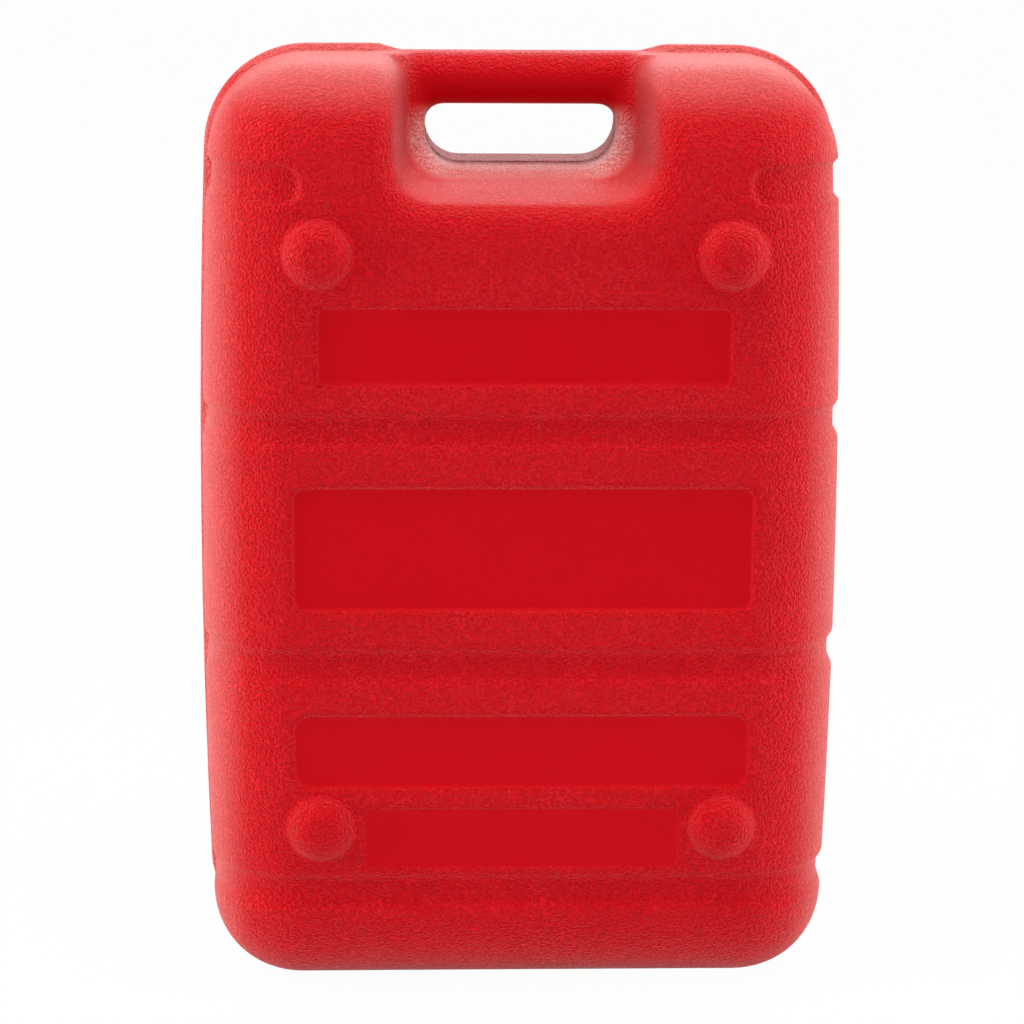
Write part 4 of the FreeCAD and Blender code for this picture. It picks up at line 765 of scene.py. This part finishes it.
# ---- Check valve ----
def valve_spring():
    """The check valve's coil as it is built, riding on the elbow."""
    piece = new_piece("valve_spring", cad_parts["poppet_spring"].data.copy(), None, "elbow")
    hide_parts("poppet_spring")
    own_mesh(piece)


# ---- The moulded tank ----
def rounding_of(points):
    """How much of the full rounding each point gets: less where the mould's edges are crisp."""
    x, y, z = np.abs(points[:, 0]), points[:, 1], points[:, 2]
    share = np.ones(len(points))
    for side, panels in ((-1.0, UNDERSIDE_PANELS), (1.0, DECK_PANELS)):
        on_face = side * y > FACE_Y - PANEL_DEPTH
        for half_width, low, high, _ in panels:
            near = (x < half_width + PANEL_MARGIN) & (z > low - PANEL_MARGIN) & (z < high + PANEL_MARGIN)
            share[on_face & near] = PANEL_ROUNDING
    for low, high in GROOVES:
        share[(z > low) & (z < high)] = GROOVE_ROUNDING
    low, high = SHORT_GROOVE
    share[(x > SHORT_GROOVE_START) & (z > low) & (z < high)] = GROOVE_ROUNDING
    for foot_z in FOOT_HEIGHTS:
        from_foot = np.hypot(x - FOOT_HALF_SPACING, z - foot_z)
        share[(y < FOOT_BASE_Y) & (from_foot < FOOT_RADIUS + FOOT_MARGIN)] = FOOT_ROUNDING
    outer = (x > RIM_SIDE_X) | (z < RIM_BOTTOM_Z) | (z > RIM_TOP_Z)
    share[(np.abs(y - SEAM_Y) < RIM_BAND) & outer] = RIM_ROUNDING
    well = (y > WELL_LOW_Y) & (x < WELL_HALF_WIDTH) & (np.abs(z - FITTINGS_Z) < WELL_HALF_HEIGHT)
    share[well] = WELL_ROUNDING
    for centre in (NECK_X, HEAD_X):
        from_seat = np.hypot(points[:, 0] - centre, z - FITTINGS_Z)
        share[(y > SEAT_LOW_Y) & (from_seat < SEAT_RADIUS)] = SEAT_ROUNDING
    return share


def outline_distance(across, z, half_width, low, corner):
    """How far points lie outside an outline that is open above and rounded at its two lower corners."""
    beside = np.maximum(across - half_width + corner, 0.0)
    below = np.maximum(low + corner - z, 0.0)
    return np.hypot(beside, below) - corner


def share_of(distance, reach):
    """The share of a length that a distance covers, from 0 to 1."""
    return np.clip(distance / reach, 0.0, 1.0)


def near_to(distance, reach):
    """1 at a line, and 0 from reach away on either side of it."""
    return np.clip(1.0 - np.abs(distance) / reach, 0.0, 1.0)


def recess_rounding_of(points):
    """How much of the wider rounding each point gets: all of it along the mouth of each hand recess."""
    across, y, z = np.abs(points[:, 0]), points[:, 1], points[:, 2]
    from_mouth = outline_distance(across, z, RECESS_HALF_WIDTH, RECESS_LOW, RECESS_CORNER)
    in_front = share_of(np.abs(y) - RECESS_WALL_Y, RECESS_WALL_FADE)
    mouth = near_to(from_mouth, RECESS_MOUTH) * in_front * share_of(RECESS_TOP_Z - z, RECESS_TOP_FADE)
    from_gap = outline_distance(across, z, GAP_HALF_WIDTH, GAP_LOW, GAP_CORNER)
    lip = near_to(from_gap, LIP_WIDTH) * near_to(-y - GAP_WALL_HALF_DEPTH, LIP_DEPTH)
    lip = lip * share_of(LIP_TOP_Z - z, LIP_WIDTH)
    return np.round(np.maximum(mouth, LIP_ROUNDING * lip), 1)


def smooth_modifier(work, name, steps, weights):
    """Smooths a mesh by a number of steps, each point by its own share, kept in a vertex group."""
    group = work.vertex_groups.new(name=name)
    for level in np.unique(weights):
        group.add(np.flatnonzero(weights == level).tolist(), float(level), "REPLACE")
    rounding = work.modifiers.new(name, "SMOOTH")
    rounding.factor = ROUNDING_FACTOR
    rounding.iterations = steps
    rounding.vertex_group = group.name


def run_rim_on(mesh):
    """Carries the raised rim on towards the handle, where it ends in a soft nose on each side."""
    points = points_of(mesh)
    x, y, z = np.abs(points[:, 0]), points[:, 1], points[:, 2]
    bar_top = z[x < BAR_HALF_LENGTH].max()
    rim_top = z.max()
    rise = share_of(x - NOSE_START, NOSE_END - NOSE_START)
    level = bar_top + (rim_top - bar_top) * rise * rise * (3.0 - 2.0 * rise)
    on_rim = np.clip(2.0 - np.abs(y - SEAM_Y) / RIM_HALF_WIDTH, 0.0, 1.0)
    near = (x > NOSE_START) & (x < NOSE_LIMIT) & (z > NOSE_LOW)
    points[:, 2] += np.where(near, np.maximum(level - z, 0.0) * on_rim, 0.0)
    mesh.vertices.foreach_set("co", points.ravel())
    mesh.update()


def moulded_tank():
    """The tank's shell as blown plastic leaves it: every edge rounded, most of all on the open walls."""
    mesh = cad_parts["tank_shell"].data.copy()
    weld(mesh, turn_outwards=False)
    work = work_object("moulded_tank", mesh)
    skin = work.modifiers.new("skin", "REMESH")
    skin.mode = "VOXEL"
    skin.voxel_size = SKIN_VOXEL
    work.data = evaluated_mesh(work)
    work.modifiers.clear()

    points = points_of(work.data)
    smooth_modifier(work, "rounding", ROUNDING_STEPS, rounding_of(points))
    smooth_modifier(work, "mouths", RECESS_STEPS, recess_rounding_of(points))
    thin = work.modifiers.new("thin", "DECIMATE")
    thin.ratio = SKIN_TRIANGLES / (2 * len(work.data.polygons))
    mesh = evaluated_mesh(work)
    bpy.data.objects.remove(work)
    run_rim_on(mesh)
    mesh.polygons.foreach_set("use_smooth", [True] * len(mesh.polygons))
    piece = new_piece("moulded_tank", mesh, RED, "tank")
    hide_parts("tank_shell")


# ---- Pieces grown by geometry nodes ----
def geometry_tree(name, inputs):
    """A geometry tree with named inputs, given as names and kinds of socket. Returns it and its inputs."""
    tree = bpy.data.node_groups.new(name, "GeometryNodeTree")
    for label, kind in inputs:
        tree.interface.new_socket(label, in_out="INPUT", socket_type=f"NodeSocket{kind}")
    tree.interface.new_socket("Geometry", in_out="OUTPUT", socket_type="NodeSocketGeometry")
    return tree, add(tree, "NodeGroupInput").outputs


def end_tree(tree, geometry, finish):
    """Makes what the tree has grown real, and gives it its finish."""
    real = add(tree, "GeometryNodeRealizeInstances", {"Geometry": geometry}).outputs[0]
    dressed = add(tree, "GeometryNodeSetMaterial", {"Geometry": real, "Material": finish}).outputs[0]
    add(tree, "NodeGroupOutput", {"Geometry": dressed})


def grown_piece(name, tree, sizes, finish, body, path=None, smooth=True):
    """A piece grown by a tree from its sizes, along a path of points where the tree takes one."""
    start = bpy.data.meshes.new(f"{name}_start")
    if path:
        start.from_pydata(path, [(i, i + 1) for i in range(len(path) - 1)], [])
    work = work_object(name, start)
    grow = work.modifiers.new("grow", "NODES")
    grow.node_group = tree
    for socket in tree.interface.items_tree:
        if socket.in_out == "INPUT" and socket.name in sizes:
            grow[socket.identifier] = sizes[socket.name]
    mesh = evaluated_mesh(work)
    work.modifiers.clear()
    bpy.data.objects.remove(work)
    weld(mesh)
    mesh.polygons.foreach_set("use_smooth", [smooth] * len(mesh.polygons))
    new_piece(name, mesh, finish, body)


def run_out(tree, share):
    """The width of a ridge along its curve: full, but thin at each end, over a share of its length."""
    along = add(tree, "GeometryNodeSplineParameter").outputs["Factor"]
    starting = value_range(tree, along, 0.0, share, 0.1, 1.0)
    ending = value_range(tree, along, 1.0 - share, 1.0, 1.0, 0.1)
    return math_node(tree, "MULTIPLY", starting, ending)


def swept(tree, curve, sides, radius, width):
    """A round bar along a curve, with closed ends."""
    circle = {"Resolution": sides, "Radius": radius}
    profile = add(tree, "GeometryNodeCurvePrimitiveCircle", circle).outputs[0]
    inputs = {"Curve": curve, "Profile Curve": profile, "Scale": width, "Fill Caps": True}
    return add(tree, "GeometryNodeCurveToMesh", inputs).outputs[0]


def thread_tree(name, finish):
    """A round ridge wound about an axis along Y, right-handed, with both ends running out."""
    tree, given = geometry_tree(
        name,
        (
            ("Radius", "Float"),
            ("Ridge", "Float"),
            ("Pitch", "Float"),
            ("Turns", "Float"),
            ("Start", "Vector"),
        ),
    )
    spiral = add(
        tree,
        "GeometryNodeCurveSpiral",
        {
            "Resolution": THREAD_STEPS,
            "Rotations": given["Turns"],
            "Start Radius": given["Radius"],
            "End Radius": given["Radius"],
            "Height": product(tree, given["Pitch"], given["Turns"]),
        },
    ).outputs[0]
    wound = swept(tree, spiral, 12, given["Ridge"], run_out(tree, THREAD_RUN_OUT))
    turned = add(
        tree,
        "GeometryNodeTransform",
        {"Geometry": wound, "Translation": given["Start"], "Rotation": (-math.pi / 2, 0.0, 0.0)},
    ).outputs[0]
    end_tree(tree, turned, finish)
    return tree


def thread(name, radius, start_y, turns, finish, body):
    """A coarse thread of the filler."""
    sizes = {
        "Radius": radius,
        "Ridge": THREAD_RIDGE,
        "Pitch": THREAD_PITCH,
        "Turns": turns,
        "Start": (NECK_X, start_y, FITTINGS_Z),
    }
    grown_piece(name, thread_tree(name, finish), sizes, finish, body)


def threads():
    """The threads of the filler neck and of its cap, half a pitch apart."""
    cap_y = THREAD_Y + THREAD_PITCH / 2
    thread("neck_thread", NECK_THREAD_RADIUS, THREAD_Y, NECK_THREAD_TURNS, RED, "tank")
    thread("cap_thread", CAP_THREAD_RADIUS, cap_y, CAP_THREAD_TURNS, NYLON, "cap")


def tick_ring(tree, given, kind, every):
    """Ticks of one kind round the dial, at odd or even places: each is a thin bar that widens outwards."""
    length, width = given[f"{kind} Length"], given[f"{kind} Width"]
    size = add(tree, "ShaderNodeCombineXYZ", {"X": length, "Y": given["Thickness"], "Z": width}).outputs[0]
    cuts = {"Size": size, "Vertices X": 4, "Vertices Y": 2, "Vertices Z": 3}
    bar = add(tree, "GeometryNodeMeshCube", cuts).outputs["Mesh"]
    position = add(tree, "GeometryNodeInputPosition").outputs[0]
    x, y, z = add(tree, "ShaderNodeSeparateXYZ", {0: position}).outputs
    swell = math_node(tree, "MULTIPLY_ADD", math_node(tree, "DIVIDE", x, length), 0.5, 0.75)
    place = add(tree, "ShaderNodeCombineXYZ", {"X": x, "Y": y, "Z": product(tree, z, swell)}).outputs[0]
    shaped = add(tree, "GeometryNodeSetPosition", {"Geometry": bar, "Position": place}).outputs[0]
    reach = math_node(tree, "SUBTRACT", given["Outer Radius"], product(tree, length, 0.5))
    shift = add(tree, "ShaderNodeCombineXYZ", {"X": reach}).outputs[0]
    moved = add(tree, "GeometryNodeTransform", {"Geometry": shaped, "Translation": shift}).outputs[0]
    middles = {"Count": given["Count"], "Position": given["Centre"]}
    points = add(tree, "GeometryNodePoints", middles).outputs[0]
    index = add(tree, "GeometryNodeInputIndex").outputs[0]
    angle = math_node(tree, "MULTIPLY_ADD", index, given["Step"], given["First Angle"])
    turn = add(tree, "FunctionNodeAxisAngleToRotation", {"Axis": ALONG_Y, "Angle": angle}).outputs[0]
    chosen = math_node(tree, "COMPARE", math_node(tree, "MODULO", index, 2.0), every, 0.1)
    inputs = {"Points": points, "Selection": chosen, "Instance": moved, "Rotation": turn}
    return add(tree, "GeometryNodeInstanceOnPoints", inputs).outputs[0]


def dial_ticks():
    """The gauge's scale: a long tick at each quarter, a short one between."""
    tree, given = geometry_tree(
        "dial_ticks",
        (
            ("Centre", "Vector"),
            ("Outer Radius", "Float"),
            ("Thickness", "Float"),
            ("Count", "Int"),
            ("First Angle", "Float"),
            ("Step", "Float"),
            ("Long Length", "Float"),
            ("Long Width", "Float"),
            ("Short Length", "Float"),
            ("Short Width", "Float"),
        ),
    )
    rings = add(tree, "GeometryNodeJoinGeometry")
    for kind, every in (("Short", 1.0), ("Long", 0.0)):
        tree.links.new(tick_ring(tree, given, kind, every), rings.inputs[0])
    end_tree(tree, rings.outputs[0], INK)
    sizes = {
        "Centre": tuple(DIAL_CENTRE),
        "Outer Radius": TICK_RADIUS,
        "Thickness": INK_THICKNESS,
        "Count": TICK_COUNT,
        "First Angle": EMPTY_ANGLE,
        "Step": -GAUGE_SWEEP / (TICK_COUNT - 1),
        "Long Length": LONG_TICK[0],
        "Long Width": LONG_TICK[1],
        "Short Length": SHORT_TICK[0],
        "Short Width": SHORT_TICK[1],
    }
    grown_piece("dial_ticks", tree, sizes, INK, "tank", smooth=False)


def dial_numbers():
    """Plain numbers for empty, half and full."""
    whole = bmesh.new()
    for text, share in (("0", 0.0), ("1/2", 0.5), ("1", 1.0)):
        letters = bpy.data.curves.new("dial_number", "FONT")
        letters.body = text
        letters.size = NUMBER_HEIGHT
        letters.extrude = INK_THICKNESS / 2
        letters.offset = NUMBER_BOLDNESS
        letters.align_x = "CENTER"
        letters.align_y = "CENTER"
        work = work_object("dial_number", letters)
        mesh = evaluated_mesh(work)
        bpy.data.objects.remove(work)
        angle = EMPTY_ANGLE - GAUGE_SWEEP * share
        centre = DIAL_CENTRE + NUMBER_RADIUS * Vector((math.cos(angle), 0.0, -math.sin(angle)))
        mesh.transform(Matrix.Translation(centre) @ Matrix.Rotation(-math.pi / 2, 4, "X"))
        whole.from_mesh(mesh)
    mesh = bpy.data.meshes.new("dial_numbers")
    whole.to_mesh(mesh)
    whole.free()
    weld(mesh)
    new_piece("dial_numbers", mesh, INK, "tank")


def gap_flash():
    """The thin line of squeezed-out plastic along the pinched seam of the finger gap."""
    tree, given = geometry_tree(
        "gap_flash",
        (
            ("Path", "Geometry"),
            ("Corner", "Float"),
            ("Radius", "Float"),
            ("Step", "Float"),
            ("Wander", "Float"),
        ),
    )
    curve = add(tree, "GeometryNodeMeshToCurve", {"Mesh": given["Path"]}).outputs[0]
    rounded = {"Curve": curve, "Count": 16, "Radius": given["Corner"]}
    bend = add(tree, "GeometryNodeFilletCurve", rounded, mode="POLY").outputs[0]
    steps = {"Curve": bend, "Length": given["Step"]}
    fine = add(tree, "GeometryNodeResampleCurve", steps, mode="LENGTH").outputs[0]
    place = add(tree, "GeometryNodeInputPosition").outputs[0]
    shift = wander(tree, place, 160.0, 2.0, given["Wander"])
    uneven = add(tree, "GeometryNodeSetPosition", {"Geometry": fine, "Offset": shift}).outputs[0]
    lumps = add(tree, "ShaderNodeTexNoise", {"Vector": place, "Scale": 420.0}).outputs[0]
    width = product(tree, run_out(tree, FLASH_RUN_OUT), value_range(tree, lumps, 0.35, 0.65, 0.5, 1.0))
    end_tree(tree, swept(tree, uneven, 8, given["Radius"], width), RED)
    floor = GAP_LOW + GAP_RISE / 2
    ends = (
        (-GAP_HALF_WIDTH, FLASH_TOP),
        (-GAP_HALF_WIDTH, floor),
        (GAP_HALF_WIDTH, floor),
        (GAP_HALF_WIDTH, FLASH_TOP),
    )
    path = [(x, FLASH_Y, z) for x, z in ends]
    sizes = {"Corner": GAP_CORNER, "Radius": FLASH_RADIUS, "Step": FLASH_STEP, "Wander": FLASH_WANDER}
    grown_piece("gap_flash", tree, sizes, RED, "tank", path=path)


# ---- Studio ----
FLOOR_SIZE = 24.0
FLOOR_GREY = (0.86, 0.86, 0.86, 1.0)
FLOOR_LIFT = 0.97           # how much of the floor's white is its own, so that only a faint shadow shows
WORLD_LIGHT = 0.47          # strength of the white world as a light; seen directly it is plain white

# Softboxes: name, place, width, height, watts
SOFTBOXES = (
    ("top_softbox", (0.0, -0.30, 1.70), 1.0, 0.6, 12.0),
    ("front_softbox", (0.2, -2.4, 1.5), 1.4, 1.0, 9.4),
    ("left_softbox", (-1.0, -0.20, 0.45), 0.30, 1.2, 9.5),
    ("right_softbox", (1.0, -0.15, 0.45), 0.30, 1.2, 7.5),
    ("back_softbox", (0.3, 2.2, 1.4), 1.4, 1.0, 11.0),
)

CAMERA_TARGET = Vector((-0.00258, 0.0, 0.2367))
CAMERA_DISTANCE = 1.6
CAMERA_AZIMUTH = math.radians(-2.04)
CAMERA_ELEVATION = math.radians(12.96)
CAMERA_ROLL = math.radians(0.41)
CAMERA_LENS = 104.91
CAMERA_SENSOR = 36.0


def seen_directly(tree):
    """1 for what the camera sees, also through glass and in reflections."""
    path = add(tree, "ShaderNodeLightPath").outputs
    mirrored = math_node(tree, "MAXIMUM", path["Is Glossy Ray"], path["Is Transmission Ray"])
    return math_node(tree, "MAXIMUM", path["Is Camera Ray"], mirrored)


def white_world():
    """A white studio: it lights the tank softly from all sides, and shows as plain white."""
    world = bpy.data.worlds.new("white_studio")
    bpy.context.scene.world = world
    world.use_nodes = True
    tree = world.node_tree
    background = tree.nodes["Background"]
    background.inputs["Color"].default_value = WHITE
    strength = math_node(tree, "MULTIPLY_ADD", seen_directly(tree), 1.0 - WORLD_LIGHT, WORLD_LIGHT)
    tree.links.new(strength, background.inputs["Strength"])


def pale_floor():
    """A wide white floor that shows no more than the tank's faint shadow."""
    mesh = bpy.data.meshes.new("pale_floor")
    half = FLOOR_SIZE / 2
    corners = [(-half, -half, 0.0), (half, -half, 0.0), (half, half, 0.0), (-half, half, 0.0)]
    mesh.from_pydata(corners, [], [(0, 1, 2, 3)])
    material = bpy.data.materials.new("pale_floor")
    material.use_nodes = True
    tree = material.node_tree
    tree.nodes.clear()
    paper = add(tree, "ShaderNodeBsdfDiffuse", {"Color": FLOOR_GREY}).outputs[0]
    glow = add(tree, "ShaderNodeEmission", {"Color": WHITE, "Strength": 1.0}).outputs[0]
    share = math_node(tree, "MULTIPLY", seen_directly(tree), FLOOR_LIFT)
    mix = add(tree, "ShaderNodeMixShader", {0: share, 1: paper, 2: glow}).outputs[0]
    add(tree, "ShaderNodeOutputMaterial", {"Surface": mix})
    mesh.materials.append(material)
    floor = bpy.data.objects.new("pale_floor", mesh)
    bpy.context.scene.collection.objects.link(floor)


def softbox(name, place, width, height, watts):
    """A rectangular lamp that faces the tank."""
    light = bpy.data.lights.new(name, "AREA")
    light.shape = "RECTANGLE"
    light.size = width
    light.size_y = height
    light.energy = watts
    lamp = bpy.data.objects.new(name, light)
    lamp.location = place
    lamp.rotation_mode = "QUATERNION"
    lamp.rotation_quaternion = (CAMERA_TARGET - Vector(place)).to_track_quat("-Z", "Y")
    bpy.context.scene.collection.objects.link(lamp)


def camera():
    """The main view: the underside, from a little above."""
    lens = bpy.data.cameras.new("camera")
    lens.sensor_width = CAMERA_SENSOR
    lens.lens = CAMERA_LENS
    view = bpy.data.objects.new("camera", lens)
    level = math.cos(CAMERA_ELEVATION)
    back = Vector(
        (
            math.sin(CAMERA_AZIMUTH) * level,
            -math.cos(CAMERA_AZIMUTH) * level,
            math.sin(CAMERA_ELEVATION),
        )
    )
    view.location = CAMERA_TARGET + CAMERA_DISTANCE * back
    view.rotation_mode = "QUATERNION"
    view.rotation_quaternion = (-back).to_track_quat("-Z", "Y") @ Quaternion((0.0, 0.0, 1.0), CAMERA_ROLL)
    bpy.context.scene.collection.objects.link(view)
    bpy.context.scene.camera = view


camera()
white_world()
pale_floor()
for settings in SOFTBOXES:
    softbox(*settings)
finish_nodes()
moulded_tank()
threads()
dial_ticks()
dial_numbers()
valve_spring()
gap_flash()
bpy.context.scene.view_settings.view_transform = "Standard"
